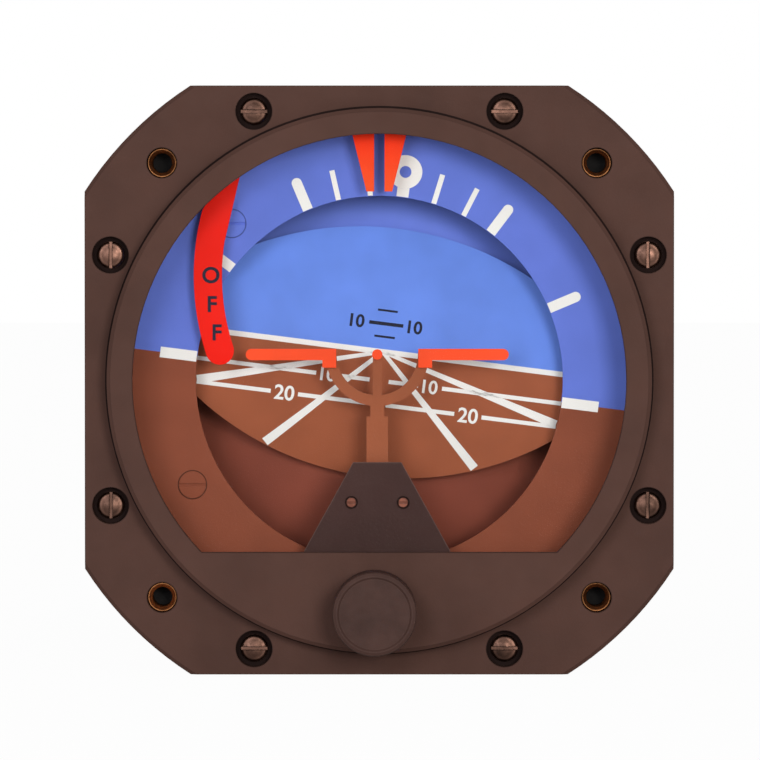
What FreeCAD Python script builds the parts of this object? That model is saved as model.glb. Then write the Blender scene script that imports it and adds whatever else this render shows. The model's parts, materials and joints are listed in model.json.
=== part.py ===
import FreeCAD, Part
import math
import os
import re

import Sketcher
from FreeCAD import Placement, Rotation, Vector

# Attitude indicator: an electric gyro horizon for a round 3 1/8 inch panel cut-out.
# Frame: +X right, +Y away from the pilot into the panel, +Z up, in millimetres. The origin lies on the dial's
# axis, in the plane where the square flange meets the back of the panel. Every piece is drawn in the pose it
# has with the instrument at rest: rolled, pitched and with its miniature aeroplane raised a little.

SIZES = {
    # Panel interface
    "bolt_spacing": 62.87,
    "boss_radius": 39.3,
    "boss_height": 4.0,
    "flange_side": 85.2,
    "flange_corner_radius": 50.6,
    "flange_depth": 6.0,
    "edge_break": 0.5,
    "insert_radius": 2.2,
    "insert_bore_radius": 1.6,
    # Bezel screws
    "screw_circle": 42.9,
    "screw_offset_angle": 25,
    "screw_head_radius": 1.95,
    "screw_head_height": 1.3,
    "screw_shank_radius": 1.09,
    "screw_slot": 0.5,
    "screw_slot_depth": 0.6,
    "counterbore_radius": 2.65,
    "counterbore_depth": 2.2,
    # Window
    "window_radius": 35.6,
    "window_chord": 24.7,
    "lip_depth": 1.6,
    "gasket_thick": 0.4,
    "glass_thick": 1.4,
    "glass_ledge": 2.0,
    "chord_ledge": 1.3,
    "retainer_depth": 1.2,
    "retainer_set_back": 0.3,
    "cavity_inset": 3.6,
    # Clearances
    "fit_gap": 0.05,
    "running_gap": 0.04,
    "slide_gap": 0.1,
    # Bank index
    "index_thick": 0.8,
    "index_gap_half": 0.75,
    "index_tip_height": 26.95,
    "index_tip_half": 1.87,
    "index_rim_half": 3.93,
    "index_tab_half": 4.6,
    "index_tab_top": 38.6,
    "index_screw_x": 2.4,
    "index_screw_height": 38.05,
    "small_screw_shank": 0.42,
    "small_screw_head": 0.72,
    "small_screw_bite": 2.2,
    "small_head_height": 0.6,
    # Warning flag
    "flag_front": 2.2,
    "flag_thick": 0.5,
    "flag_centre_x": 10.1,
    "flag_centre_z": 15.1,
    "flag_inner_radius": 32.9,
    "flag_width": 4.1,
    "flag_tip_angle": 198.1,
    "flag_root_angle": 165,
    "flag_pivot_x": -17.0,
    "flag_pivot_z": 34.0,
    "flag_eye_radius": 2.0,
    "flag_pin_radius": 0.6,
    "flag_tail": 4.6,
    "flag_tail_angle": 27,
    "flag_tail_half": 0.6,
    "flag_recess": 2.2,
    "flag_recess_deep": 2.75,
    "flag_recess_start": 92,
    "flag_recess_end": 178,
    "flag_recess_margin": 3.5,
    "flag_recess_front": 1.6,
    "flag_spring_depth": 0.8,
    "flag_collar_radius": 0.95,
    "coil_angle": 106,
    "coil_half_angle": 5,
    "coil_depth": 4.2,
    # Miniature aeroplane and its carriage
    "carriage_x": -0.3,
    "aeroplane_rest": 3.7,
    "aeroplane_down": 6.2,
    "aeroplane_up": 0.8,
    "bracket_front": 2.2,
    "bracket_thick": 1.1,
    "cradle_inner_radius": 5.9,
    "cradle_wall": 1.6,
    "cradle_neck_half": 1.0,
    "stem_half": 0.65,
    "post_half": 1.55,
    "post_top": 9.0,
    "post_bottom": 27.0,
    "post_step": 1.8,
    "wing_thick": 0.7,
    "wing_half": 0.82,
    "wing_inner": 5.95,
    "wing_outer": 19.05,
    "wing_root_width": 2.0,
    "wing_root_drop": 1.9,
    "dot_radius": 0.75,
    # Rack and pinion
    "tooth_module": 0.36,
    "pinion_teeth": 14,
    "rack_teeth": 8,
    "rack_width": 1.65,
    "tooth_play": 0.12,
    "knob_x": -0.7,
    "knob_drop": 33.2,
    "knob_radius": 6.05,
    "knob_length": 6.9,
    "knob_gap": 0.6,
    "knob_dish": 0.3,
    "knob_rim": 1.0,
    "knob_round": 0.55,
    "shaft_radius": 1.2,
    "bushing_radius": 2.4,
    "collar_depth": 0.8,
    "set_screw_radius": 0.8,
    # Centre shield and carriage guide
    "shield_thick": 1.0,
    "shield_top": 11.9,
    "shield_top_half": 3.5,
    "shield_base_half": 10.57,
    "shield_foot": 29.5,
    "shield_screw_x": 3.75,
    "shield_screw_drop": 17.7,
    "shield_screw_radius": 0.7,
    "shield_screw_height": 0.4,
    "rail_half_height": 2.4,
    "rail_outer": 5.0,
    "rack_rail_top": 22.5,
    "rack_rail_width": 1.2,
    "guide_thick": 1.0,
    "guide_top": 13.2,
    "guide_top_half": 2.9,
    "guide_foot_half": 14.0,
    "guide_foot_width": 3.2,
    "guide_foot_top": 26.5,
    "guide_foot_bottom": 31.0,
    "guide_bottom": 37.0,
    "guide_bottom_half": 6.8,
    "guide_screw_shank": 0.6,
    "guide_screw_head": 1.1,
    "guide_sink": 0.8,
    # Roll dial
    "dial_front": 5.0,
    "dial_thick": 1.0,
    "dial_inner_radius": 26.7,
    "dial_outer_radius": 37.6,
    "dial_screw_circle": 31.2,
    "dial_screw_angle_1": 140.6,
    "dial_screw_angle_2": 216.6,
    "dial_screw_angle_3": 300,
    "dial_screw_radius": 2.0,
    "dial_screw_shank": 0.9,
    "dial_screw_proud": 0.2,
    "carrier_depth": 1.6,
    "carrier_inner_radius": 27.3,
    "carrier_outer_radius": 38.0,
    "strut_radius": 1.3,
    "strut_x": 18.4,
    "strut_z": 31.6,
    # Horizon
    "disc_front": 8.4,
    "disc_thick": 0.6,
    "lens_radius": 44.6,
    "lens_offset": 26.35,
    "lens_half_width": 28.6,
    "tab_half": 2.2,
    "arm_inner": 29.9,
    "arm_thick": 1.2,
    "arm_half": 1.6,
    "arm_slot_pad": 3.2,
    "counterweight_radius": 7.35,
    "counterweight_thick": 5.8,
    "counterweight_reach": 16.0,
    "sky_front": 10.2,
    "sky_radius": 68.0,
    "sky_rim_radius": 27.5,
    "sky_wall": 1.0,
    # Gimbals
    "front_plate_front": 19.0,
    "front_plate_thick": 1.6,
    "front_plate_bore": 16.0,
    "notch_inner": 28.8,
    "notch_half": 18.5,
    "frame_inner": 26.0,
    "frame_thick": 2.5,
    "frame_half": 15.5,
    "frame_tail_half": 9.0,
    "frame_waist": 66.0,
    "frame_back": 92.0,
    "frame_back_thick": 4.0,
    "pitch_axis": 48.0,
    "crank_reach": 15.0,
    "crank_pin_radius": 0.9,
    "crank_slot_half": 1.4,
    "arm_axis": 83.2,
    "arm_pivot_radius": 1.2,
    "roll_rest": 7.2,
    "pitch_rest": 10.2,
    "pitch_limit": 40.0,
    # Gyro
    "drum_radius": 19.0,
    "drum_half": 18.0,
    "drum_wall": 1.5,
    "drum_split": 7.0,
    "pitch_bearing_radius": 4.0,
    "trunnion_radius": 1.5,
    "rotor_shaft_radius": 1.5,
    "rotor_radius": 15.5,
    "rotor_rim": 4.0,
    "rotor_half": 9.0,
    "rotor_lift": 2.9,
    "gyro_bearing_radius": 4.0,
    "gyro_bearing_width": 2.5,
    "stator_top": 2.2,
    "boss_gap": 2.0,
    "crank_thick": 1.3,
    "erector_radius": 8.0,
    "erector_depth": 1.5,
    # Rear of the case
    "case_gasket_thick": 0.5,
    "case_flange_depth": 3.5,
    "case_inset": 1.0,
    "can_inset": 1.4,
    "can_wall": 2.0,
    "can_back": 140.0,
    "can_rim_depth": 6.0,
    "can_rim_width": 4.7,
    "cover_thick": 3.0,
    "cover_screw_inset": 2.3,
    "cover_screw_radius": 1.0,
    "cover_screw_head": 1.8,
    "cover_screw_height": 1.2,
    "spindle_radius": 3.0,
    "bearing_radius": 8.0,
    "bearing_width": 5.0,
    "bearing_front": 98.0,
    "bearing_span": 26.0,
    "bearing_tube_wall": 2.5,
    "bulkhead_front": 107.5,
    "bulkhead_thick": 3.0,
    "board_front": 116.0,
    "board_thick": 1.6,
    "board_post_circle": 26.0,
    "board_post_radius": 2.0,
    "transformer_half": 8.0,
    "transformer_inner": 17.0,
    "transformer_outer": 29.0,
    "transformer_height": 12.0,
    "capacitor_x": 22.0,
    "capacitor_z": 12.0,
    "capacitor_radius": 4.0,
    "capacitor_height": 10.0,
    "regulator_inner": 17.0,
    "regulator_outer": 27.0,
    "regulator_top": 8.0,
    "regulator_bottom": 20.0,
    "regulator_height": 5.0,
    "slip_ring_radius": 4.5,
    "slip_ring_length": 8.0,
    "connector_flange": 12.0,
    "connector_flange_thick": 2.0,
    "connector_radius": 9.0,
    "connector_length": 15.0,
    "connector_bore": 7.4,
    "pin_radius": 0.6,
    "pin_circle": 4.6,
    "pin_length": 6.0,
    "insert_depth": 6.0,
}

DERIVED = {
    "flange_half": "flange_side / 2",
    "gasket_front": "lip_depth - boss_height",
    "glass_front": "gasket_front + gasket_thick",
    "glass_back": "glass_front + glass_thick",
    "wall_back": "glass_back + retainer_depth",
    "glass_radius": "window_radius + glass_ledge",
    "glass_chord": "window_chord + chord_ledge",
    "cavity_radius": "flange_half - cavity_inset",
    "flag_recess_radius": "cavity_radius + flag_recess",
    "flag_recess_deep_radius": "cavity_radius + flag_recess_deep",
    "knob_z": "-knob_drop",
    "shield_back": "wall_back + shield_thick",
    "bracket_back": "bracket_front + bracket_thick",
    "guide_front": "bracket_back + slide_gap",
    "guide_back": "guide_front + guide_thick",
    "cradle_outer_radius": "cradle_inner_radius + cradle_wall",
    "pitch_line_radius": "tooth_module * pinion_teeth / 2",
    "tooth_pitch": "3.14159265 * tooth_module",
    "tooth_tip": "0.8 * tooth_module",
    "tooth_root": "1.15 * tooth_module",
    "rack_line_x": "knob_x + pitch_line_radius",
    "tooth_tip_half": "(tooth_pitch - tooth_play) / 4 - tooth_tip * tan(20)",
    "tooth_root_half": "(tooth_pitch - tooth_play) / 4 + tooth_root * tan(20)",
    "rack_root_x": "rack_line_x + tooth_root",
    "rack_back_x": "rack_root_x + rack_width",
    "rack_bottom": "knob_drop + aeroplane_rest + aeroplane_up + tooth_pitch",
    "aeroplane_height_of_pinion": "-knob_drop - aeroplane_rest",
    "dial_back": "dial_front + dial_thick",
    "carrier_back": "dial_back + carrier_depth",
    "disc_radius": "arm_axis - disc_front",
    "lens_shoulder": "sqrt(lens_radius^2 - lens_half_width^2) - lens_offset",
    "arm_outer": "arm_inner + arm_thick",
    "front_plate_back": "front_plate_front + front_plate_thick",
    "frame_outer": "frame_inner + frame_thick",
    "arm_rest": "atan(crank_reach * sin(pitch_rest) / (arm_axis - pitch_axis + crank_reach * cos(pitch_rest)))",
    "drum_inner_radius": "drum_radius - drum_wall",
    "drum_inner_half": "drum_half - drum_wall",
    "case_front": "flange_depth + case_gasket_thick",
    "case_flange_back": "case_front + case_flange_depth",
    "case_half": "flange_half - case_inset",
    "case_corner_radius": "flange_corner_radius - case_inset",
    "can_radius": "flange_half - can_inset",
    "can_inner_radius": "can_radius - can_wall",
    "can_rim_radius": "can_radius - can_rim_width",
    "cover_screw_circle": "can_radius - cover_screw_inset",
    "cover_back": "can_back + cover_thick",
    "bearing_back": "bearing_front + bearing_span",
    "bearing_tube_radius": "bearing_radius + bearing_tube_wall",
    "bulkhead_back": "bulkhead_front + bulkhead_thick",
    "board_back": "board_front + board_thick",
}

doc = FreeCAD.newDocument("attitude_indicator")
sheet = doc.addObject("Spreadsheet::Sheet", "Sizes")
for row, (name, number) in enumerate(SIZES.items(), start=1):
    sheet.set(f"A{row}", name)
    sheet.set(f"B{row}", str(number))
    sheet.setAlias(f"B{row}", name)
doc.recompute()


def formula(text):
    """The expression with each size pointed at the sheet and each derived size written out."""

    def swap(match):
        word = match.group(0)
        if word in DERIVED:
            return "(" + formula(DERIVED[word]) + ")"
        return "Sizes." + word if word in SIZES else word

    return re.sub(r"[A-Za-z_][A-Za-z_0-9]*", swap, text)


def value(text):
    return float(sheet.evalExpression(formula(text).replace("Sizes.", "")))


def circle(u, v, radius):
    return ("circle", u, v, radius)


def outline(*points):
    """A closed line through (u, v) points. A point with a third item starts an arc of that radius, which turns
    left, or right if the fourth item is "right"."""
    return ("outline", points)


def box(left, bottom, right, top):
    return outline((left, bottom), (right, bottom), (right, top), (left, top))


def dee(radius, chord):
    """A round window with a flat chord below its centre."""
    half = f"sqrt(({radius})^2 - ({chord})^2)"
    low = f"-({chord})"
    return outline((half, low, radius), ("0", radius, radius), (f"-{half}", low))


def fix(sketch, kind, items, text):
    index = sketch.addConstraint(Sketcher.Constraint(kind, *items, value(text)))
    sketch.setExpression(f"Constraints[{index}]", formula(text))


def draw_circle(sketch, u, v, radius):
    centre = Vector(value(u), value(v), 0)
    edge = sketch.addGeometry(Part.Circle(centre, Vector(0, 0, 1), value(radius)))
    fix(sketch, "Radius", (edge,), radius)
    fix(sketch, "DistanceX", (-1, 1, edge, 3), u)
    fix(sketch, "DistanceY", (-1, 1, edge, 3), v)


def arc_between(start, end, radius, side):
    """The shorter arc from start to end, and whether it runs against its own direction."""
    chord = end - start
    rise = math.sqrt(max(radius**2 - (chord.Length / 2) ** 2, 0))
    normal = Vector(-chord.y, chord.x, 0).normalize()
    centre = (start + end) * 0.5 + normal * (rise * side)
    whole = Part.Circle(centre, Vector(0, 0, 1), radius)
    first, last = (start, end) if side > 0 else (end, start)
    return Part.ArcOfCircle(whole, whole.parameter(first), whole.parameter(last)), side < 0


def draw_outline(sketch, points):
    corners = [Vector(value(p[0]), value(p[1]), 0) for p in points]
    ends = []
    for i, point in enumerate(points):
        start = corners[i]
        end = corners[(i + 1) % len(points)]
        if len(point) == 2:
            ends.append((sketch.addGeometry(Part.LineSegment(start, end)), 1, 2))
            continue
        side = -1 if point[-1] == "right" else 1
        arc, turned_round = arc_between(start, end, value(point[2]), side)
        edge = sketch.addGeometry(arc)
        fix(sketch, "Radius", (edge,), point[2])
        ends.append((edge, 2, 1) if turned_round else (edge, 1, 2))
    for i, (edge, first, last) in enumerate(ends):
        follower = ends[(i + 1) % len(ends)]
        sketch.addConstraint(Sketcher.Constraint("Coincident", edge, last, follower[0], follower[1]))
        fix(sketch, "DistanceX", (-1, 1, edge, first), points[i][0])
        fix(sketch, "DistanceY", (-1, 1, edge, first), points[i][1])


class Piece:
    """One sub-part: a PartDesign body whose sketches read the sheet. Front sketches lie across the Y axis at a
    depth behind the panel plane, side sketches across the X axis, and level sketches across the Z axis."""

    ROLES = {"front": "XZ_Plane", "side": "YZ_Plane", "level": "XY_Plane"}
    all = {}

    def __init__(self, label, group="case"):
        self.body = doc.addObject("PartDesign::Body", label)
        self.body.Label = label
        self.group = group
        Piece.all[label] = self

    def origin(self, role):
        return [f for f in self.body.Origin.OriginFeatures if f.Role == role][0]

    def sketch(self, view, at, shapes):
        sketch = self.body.newObject("Sketcher::SketchObject", self.body.Label + "_sketch")
        sketch.AttachmentSupport = [(self.origin(Piece.ROLES[view]), "")]
        sketch.MapMode = "FlatFace"
        offset = f"-({at})" if view == "front" else at
        sketch.AttachmentOffset = Placement(Vector(0, 0, value(offset)), Rotation())
        sketch.setExpression("AttachmentOffset.Base.z", formula(offset))
        for shape in shapes:
            if shape[0] == "circle":
                draw_circle(sketch, *shape[1:])
            else:
                draw_outline(sketch, shape[1])
        return sketch

    def feature(self, kind, sketch):
        feature = self.body.newObject("PartDesign::" + kind, self.body.Label + "_" + kind.lower())
        feature.Profile = sketch
        return feature

    def pad(self, at, depth, *shapes, view="front"):
        """Material from the plane at `at`, towards +X, +Y or +Z, over `depth`."""
        pad = self.feature("Pad", self.sketch(view, at, shapes))
        pad.Reversed = view == "front"
        pad.setExpression("Length", formula(depth))
        return pad

    def cut(self, at, depth, *shapes, view="front"):
        """The same shapes taken away."""
        pocket = self.feature("Pocket", self.sketch(view, at, shapes))
        pocket.Reversed = view != "front"
        pocket.setExpression("Length", formula(depth))
        return pocket

    def turn(self, *points, kind="Revolution", angle=360, view="side"):
        """A profile turned about Y from (y, radius) points, or about Z from (radius, z) points on the front."""
        sketch = self.sketch(view, "0", [outline(*points)])
        feature = self.feature(kind, sketch)
        feature.ReferenceAxis = (sketch, ["H_Axis" if view == "side" else "V_Axis"])
        feature.Angle = angle
        return feature

    def repeat(self, features, count):
        """Evenly spaced copies round the Y axis."""
        pattern = self.body.newObject("PartDesign::PolarPattern", self.body.Label + "_pattern")
        pattern.Originals = features
        pattern.Axis = (self.origin("Y_Axis"), [""])
        pattern.Angle = 360
        pattern.Occurrences = count
        self.body.Tip = pattern
        doc.recompute()
        return pattern

    def soften(self, kind, size, chosen):
        """A Fillet or Chamfer on the edges that `chosen` accepts."""
        doc.recompute()
        edges = self.body.Shape.Edges
        names = [f"Edge{i}" for i, edge in enumerate(edges, start=1) if chosen(edge)]
        base = self.body.Tip
        feature = self.body.newObject("PartDesign::" + kind, self.body.Label + "_" + kind.lower())
        feature.Base = (base, names)
        self.body.Tip = feature
        feature.setExpression("Radius" if kind == "Fillet" else "Size", formula(size))
        return feature


def is_ring(edge, radius, depth):
    """A full or part circle across the Y axis with this radius, at this depth."""
    curve = edge.Curve
    if not isinstance(curve, Part.Circle) or abs(abs(curve.Axis.y) - 1) > 1e-6:
        return False
    return abs(curve.Radius - value(radius)) < 1e-6 and abs(curve.Center.y - value(depth)) < 1e-6


def on_circle(radius, angle):
    """The centre of a hole or screw on a pitch circle, its angle counted from +X towards +Z."""
    return (f"{radius} * cos({angle})", f"{radius} * sin({angle})")


def square_off(piece, half, radius, front, depth):
    """Trims a round flange to four flats, which leaves its corners round."""
    far = f"({radius}) + 1"
    piece.cut(front, depth, box(f"-({far})", f"-({far})", far, far), box(f"-({half})", f"-({half})", half, half))


def flange_screw_places():
    return [on_circle("screw_circle", f"90 {side} screw_offset_angle") for side in "-+"]


def sector(inner, outer, first, last, u="0", v="0"):
    """A piece of a ring, less than half way round, between two angles."""

    def at(radius, angle):
        return (f"{u} + ({radius}) * cos({angle})", f"{v} + ({radius}) * sin({angle})")

    return outline(
        (*at(outer, first), outer),
        at(outer, last),
        (*at(inner, last), inner, "right"),
        at(inner, first),
    )


# The front: bezel, window, fasteners


def make_bezel():
    piece = Piece("bezel")
    piece.turn(
        ("-boss_height", "0"),
        ("-boss_height", "boss_radius - edge_break"),
        ("edge_break - boss_height", "boss_radius"),
        ("0", "boss_radius"),
        ("0", "flange_corner_radius - edge_break"),
        ("edge_break", "flange_corner_radius"),
        ("flange_depth", "flange_corner_radius"),
        ("flange_depth", "0"),
    )
    square_off(piece, "flange_half", "flange_corner_radius", "0", "flange_depth")
    piece.cut("-boss_height", "lip_depth", dee("window_radius", "window_chord"))
    seat = dee("glass_radius + fit_gap", "glass_chord + fit_gap")
    piece.cut("gasket_front", "wall_back - gasket_front", seat)
    piece.cut("wall_back", "flange_depth - wall_back", circle("0", "0", "cavity_radius"))
    recess_depth = "flange_depth - flag_recess_front"
    recess_inner = "cavity_radius - 1"
    flag_sector = sector(recess_inner, "flag_recess_radius", "flag_recess_start", "flag_recess_end")
    piece.cut("flag_recess_front", recess_depth, flag_sector)
    past_screw = "screw_offset_angle + flag_recess_margin"
    deep = sector(recess_inner, "flag_recess_deep_radius", f"90 + {past_screw}", f"180 - ({past_screw})")
    piece.cut("flag_recess_front", recess_depth, deep)
    slot_bottom = "-(rack_bottom - aeroplane_rest + aeroplane_down + 3 * slide_gap)"
    slot_side = "3 * slide_gap"
    slot_left = f"rack_root_x - 2 * tooth_module - {slot_side}"
    rack_slot = box(slot_left, slot_bottom, f"rack_back_x + {slot_side}", "6 - window_radius")
    piece.cut("flag_recess_front", recess_depth, rack_slot)
    bite = "small_screw_bite"
    index_holes = [circle(f"{sign}index_screw_x", "index_screw_height", "small_screw_shank") for sign in ("", "-")]
    piece.cut(f"wall_back - {bite}", bite, *index_holes)
    guide_holes = [circle(*place, "guide_screw_shank") for place in guide_screw_places()]
    piece.cut(f"wall_back - {bite}", bite, *guide_holes)
    piece.cut("-boss_height", "boss_height + wall_back", circle("knob_x", "knob_z", "bushing_radius"))
    holes = [circle(*place, "screw_shank_radius + fit_gap") for place in flange_screw_places()]
    insert_hole = circle("bolt_spacing / 2", "bolt_spacing / 2", "insert_radius")
    sinks = [circle(*place, "counterbore_radius") for place in flange_screw_places()]
    bores = piece.cut("0", "flange_depth", *holes, insert_hole)
    recesses = piece.cut("0", "counterbore_depth", *sinks)
    piece.repeat([bores, recesses], 4)


def make_window():
    glass = Piece("window_glass")
    glass.pad("glass_front", "glass_thick", dee("glass_radius", "glass_chord"))
    inner = dee("window_radius + retainer_set_back", "window_chord + retainer_set_back")
    gasket = Piece("glass_gasket")
    gasket.pad("gasket_front", "gasket_thick", dee("glass_radius", "glass_chord"), inner)
    retainer = Piece("glass_retainer")
    retainer.pad("glass_back", "retainer_depth", dee("glass_radius", "glass_chord"), inner)


def make_flange_fasteners():
    inserts = Piece("mounting_inserts")
    place = ("bolt_spacing / 2", "bolt_spacing / 2")
    tube = inserts.pad("0", "flange_depth", circle(*place, "insert_radius"), circle(*place, "insert_bore_radius"))
    inserts.repeat([tube], 4)

    screws = Piece("bezel_screws")
    front = "counterbore_depth - screw_head_height"
    places = flange_screw_places()
    shank_length = "case_flange_back - counterbore_depth"
    heads = screws.pad(front, "screw_head_height", *[circle(*place, "screw_head_radius") for place in places])
    shanks = screws.pad("counterbore_depth", shank_length, *[circle(*p, "screw_shank_radius") for p in places])
    screws.repeat([heads, shanks], 4)
    screws.soften("Chamfer", "0.25 * screw_head_height", lambda edge: is_ring(edge, "screw_head_radius", front))
    across = [slot_across(*place, "screw_head_radius", "screw_slot") for place in places]
    slots = screws.cut(front, "screw_slot_depth", *across)
    screws.repeat([slots], 4)


def slot_across(u, v, radius, width):
    """A level screwdriver slot right across a head."""
    half = f"({radius} + 0.2)"
    return box(f"{u} - {half}", f"{v} - {width} / 2", f"{u} + {half}", f"{v} + {width} / 2")


def make_bank_index():
    index = Piece("bank_index")
    tab_foot = "window_radius + retainer_set_back + 0.6"
    index.pad(
        "wall_back",
        "index_thick",
        outline(
            ("index_gap_half", "index_tip_height"),
            ("index_tip_half", "index_tip_height"),
            ("index_rim_half", "window_radius"),
            ("index_tab_half", "window_radius + 1.6"),
            ("index_tab_half", "index_tab_top"),
            ("-index_tab_half", "index_tab_top"),
            ("-index_tab_half", "window_radius + 1.6"),
            ("-index_rim_half", "window_radius"),
            ("-index_tip_half", "index_tip_height"),
            ("-index_gap_half", "index_tip_height"),
            ("-index_gap_half", tab_foot),
            ("index_gap_half", tab_foot),
        ),
        *[circle(f"{sign}index_screw_x", "index_screw_height", "small_screw_shank") for sign in ("", "-")],
    )
    screws = Piece("index_screws")
    places = [(f"{sign}index_screw_x", "index_screw_height") for sign in ("", "-")]
    seat = "wall_back + index_thick"
    screws.pad(seat, "small_head_height", *[circle(*place, "small_screw_head") for place in places])
    length = "small_screw_bite + index_thick"
    screws.pad(f"{seat} - ({length})", length, *[circle(*place, "small_screw_shank") for place in places])


# The power warning flag


def around_flag_centre(radius, angle):
    return (f"flag_centre_x + ({radius}) * cos({angle})", f"flag_centre_z + ({radius}) * sin({angle})")


def around_pivot(radius, angle):
    return (f"flag_pivot_x + ({radius}) * cos({angle})", f"flag_pivot_z + ({radius}) * sin({angle})")


def make_flag():
    flag = Piece("warning_flag", "flag")
    outer = "flag_inner_radius + flag_width"
    band = sector("flag_inner_radius", outer, "flag_root_angle", "flag_tip_angle", "flag_centre_x", "flag_centre_z")
    flag.pad("flag_front", "flag_thick", band)
    tip = around_flag_centre("flag_inner_radius + flag_width / 2", "flag_tip_angle")
    flag.pad("flag_front", "flag_thick", circle(*tip, "flag_width / 2"))
    root = outline(
        around_flag_centre("flag_inner_radius", "flag_root_angle + 1"),
        around_pivot("flag_eye_radius", "-60"),
        around_pivot("flag_eye_radius", "125"),
        around_flag_centre(outer, "flag_root_angle + 1"),
    )
    flag.pad("flag_front", "flag_thick", root)
    flag.pad("flag_front", "flag_thick", circle("flag_pivot_x", "flag_pivot_z", "flag_eye_radius"))
    tail = outline(
        around_pivot("flag_tail_half", "flag_tail_angle - 90"),
        around_pivot("flag_tail", "flag_tail_angle - 6"),
        around_pivot("flag_tail", "flag_tail_angle + 6"),
        around_pivot("flag_tail_half", "flag_tail_angle + 90"),
    )
    flag.pad("flag_front", "flag_thick", tail)
    bore = circle("flag_pivot_x", "flag_pivot_z", "flag_pin_radius + running_gap")
    flag.cut("flag_front", "flag_thick", bore)

    pin = Piece("flag_pivot_pin")
    head_front = "flag_front + flag_thick + flag_spring_depth + 2 * slide_gap"
    axis = ("flag_pivot_x", "flag_pivot_z")
    pin.pad("wall_back", "flag_front - slide_gap - wall_back", circle(*axis, "flag_collar_radius"))
    pin.pad("wall_back", f"{head_front} - wall_back", circle(*axis, "flag_pin_radius"))
    pin.pad(head_front, "small_head_height", circle(*axis, "flag_collar_radius"))

    spring = Piece("flag_spring")
    spring_front = "flag_front + flag_thick + slide_gap"
    coil_inner = "flag_pin_radius + slide_gap"
    spring.pad(spring_front, "flag_spring_depth", circle(*axis, "flag_collar_radius"), circle(*axis, coil_inner))

    coil = Piece("flag_coil")
    outer = "flag_recess_radius - fit_gap"
    span = ("coil_angle - coil_half_angle", "coil_angle + coil_half_angle")
    coil.pad("flag_recess_front", "coil_depth", sector("cavity_radius + 0.2", outer, *span))


# The miniature aeroplane, its shield and guide


def make_aeroplane():
    bracket = Piece("aeroplane_bracket", "aeroplane")
    inner = "cradle_inner_radius"
    outer = "cradle_outer_radius"
    lift = "slide_gap * 3"
    cradle = outline(
        (f"-{outer}", lift),
        (f"-{outer}", "0", outer),
        ("0", f"-{outer}", outer),
        (outer, "0"),
        (outer, lift),
        (inner, lift),
        (inner, "0", inner, "right"),
        ("0", f"-{inner}", inner, "right"),
        (f"-{inner}", "0"),
        (f"-{inner}", lift),
    )
    front, thick = "bracket_front", "bracket_thick"
    bracket.pad(front, thick, cradle)
    bracket.pad(front, thick, box("-stem_half", f"-{inner} - 0.5", "stem_half", "0"))
    bracket.pad(front, thick, box("-cradle_neck_half", "-post_top - 0.2", "cradle_neck_half", f"0.2 - {outer}"))
    bracket.pad(front, thick, box("-post_half", "-post_bottom", "post_half", "-post_top"))
    step = box("-post_half", "-post_bottom", "rack_back_x - carriage_x", "post_step - post_bottom")
    bracket.pad(front, thick, step)
    rack = box("rack_root_x - carriage_x", "-rack_bottom", "rack_back_x - carriage_x", "0.2 - post_bottom")
    bracket.pad(front, thick, rack)
    teeth = [rack_tooth(number) for number in range(int(SIZES["rack_teeth"]))]
    bracket.pad(front, thick, *teeth)

    wings = Piece("aeroplane_wings", "aeroplane")
    wing_front = "bracket_front - wing_thick"
    for sign in ("", "-"):
        bar_end = f"{sign}(wing_outer - wing_half)"
        first, last = (f"{sign}wing_inner", bar_end) if sign == "" else (bar_end, f"{sign}wing_inner")
        wings.pad(wing_front, "wing_thick", box(first, "-wing_half", last, "wing_half"))
        wings.pad(wing_front, "wing_thick", circle(bar_end, "0", "wing_half"))
        root_end = f"{sign}(wing_inner + wing_root_width)"
        first, last = (f"{sign}wing_inner", root_end) if sign == "" else (root_end, f"{sign}wing_inner")
        wings.pad(wing_front, "wing_thick", box(first, "-wing_root_drop", last, "wing_half / 2"))
    wings.pad(wing_front, "wing_thick", circle("0", "0", "dot_radius"))


def rack_tooth(number):
    """One tooth of the rack, pointing left at the pinion. The lowest lies half a pitch below its axis."""
    centre = f"(aeroplane_height_of_pinion + ({number} - 0.5) * tooth_pitch)"
    tip, root = "tooth_tip_half", "tooth_root_half"
    tip_x = "rack_line_x - tooth_tip - carriage_x"
    root_x = "rack_root_x - carriage_x + 0.02"
    return outline(
        (root_x, f"{centre} + {root}"),
        (tip_x, f"{centre} + {tip}"),
        (tip_x, f"{centre} - {tip}"),
        (root_x, f"{centre} - {root}"),
    )


def guide_screw_places():
    x = "(guide_foot_half - guide_foot_width / 2)"
    height = "-(guide_foot_top + guide_foot_bottom) / 2"
    return [(f"carriage_x + {x}", height), (f"carriage_x - {x}", height)]


def shield_screw_places():
    return [(f"carriage_x {side} shield_screw_x", "-shield_screw_drop") for side in "+-"]


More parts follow.
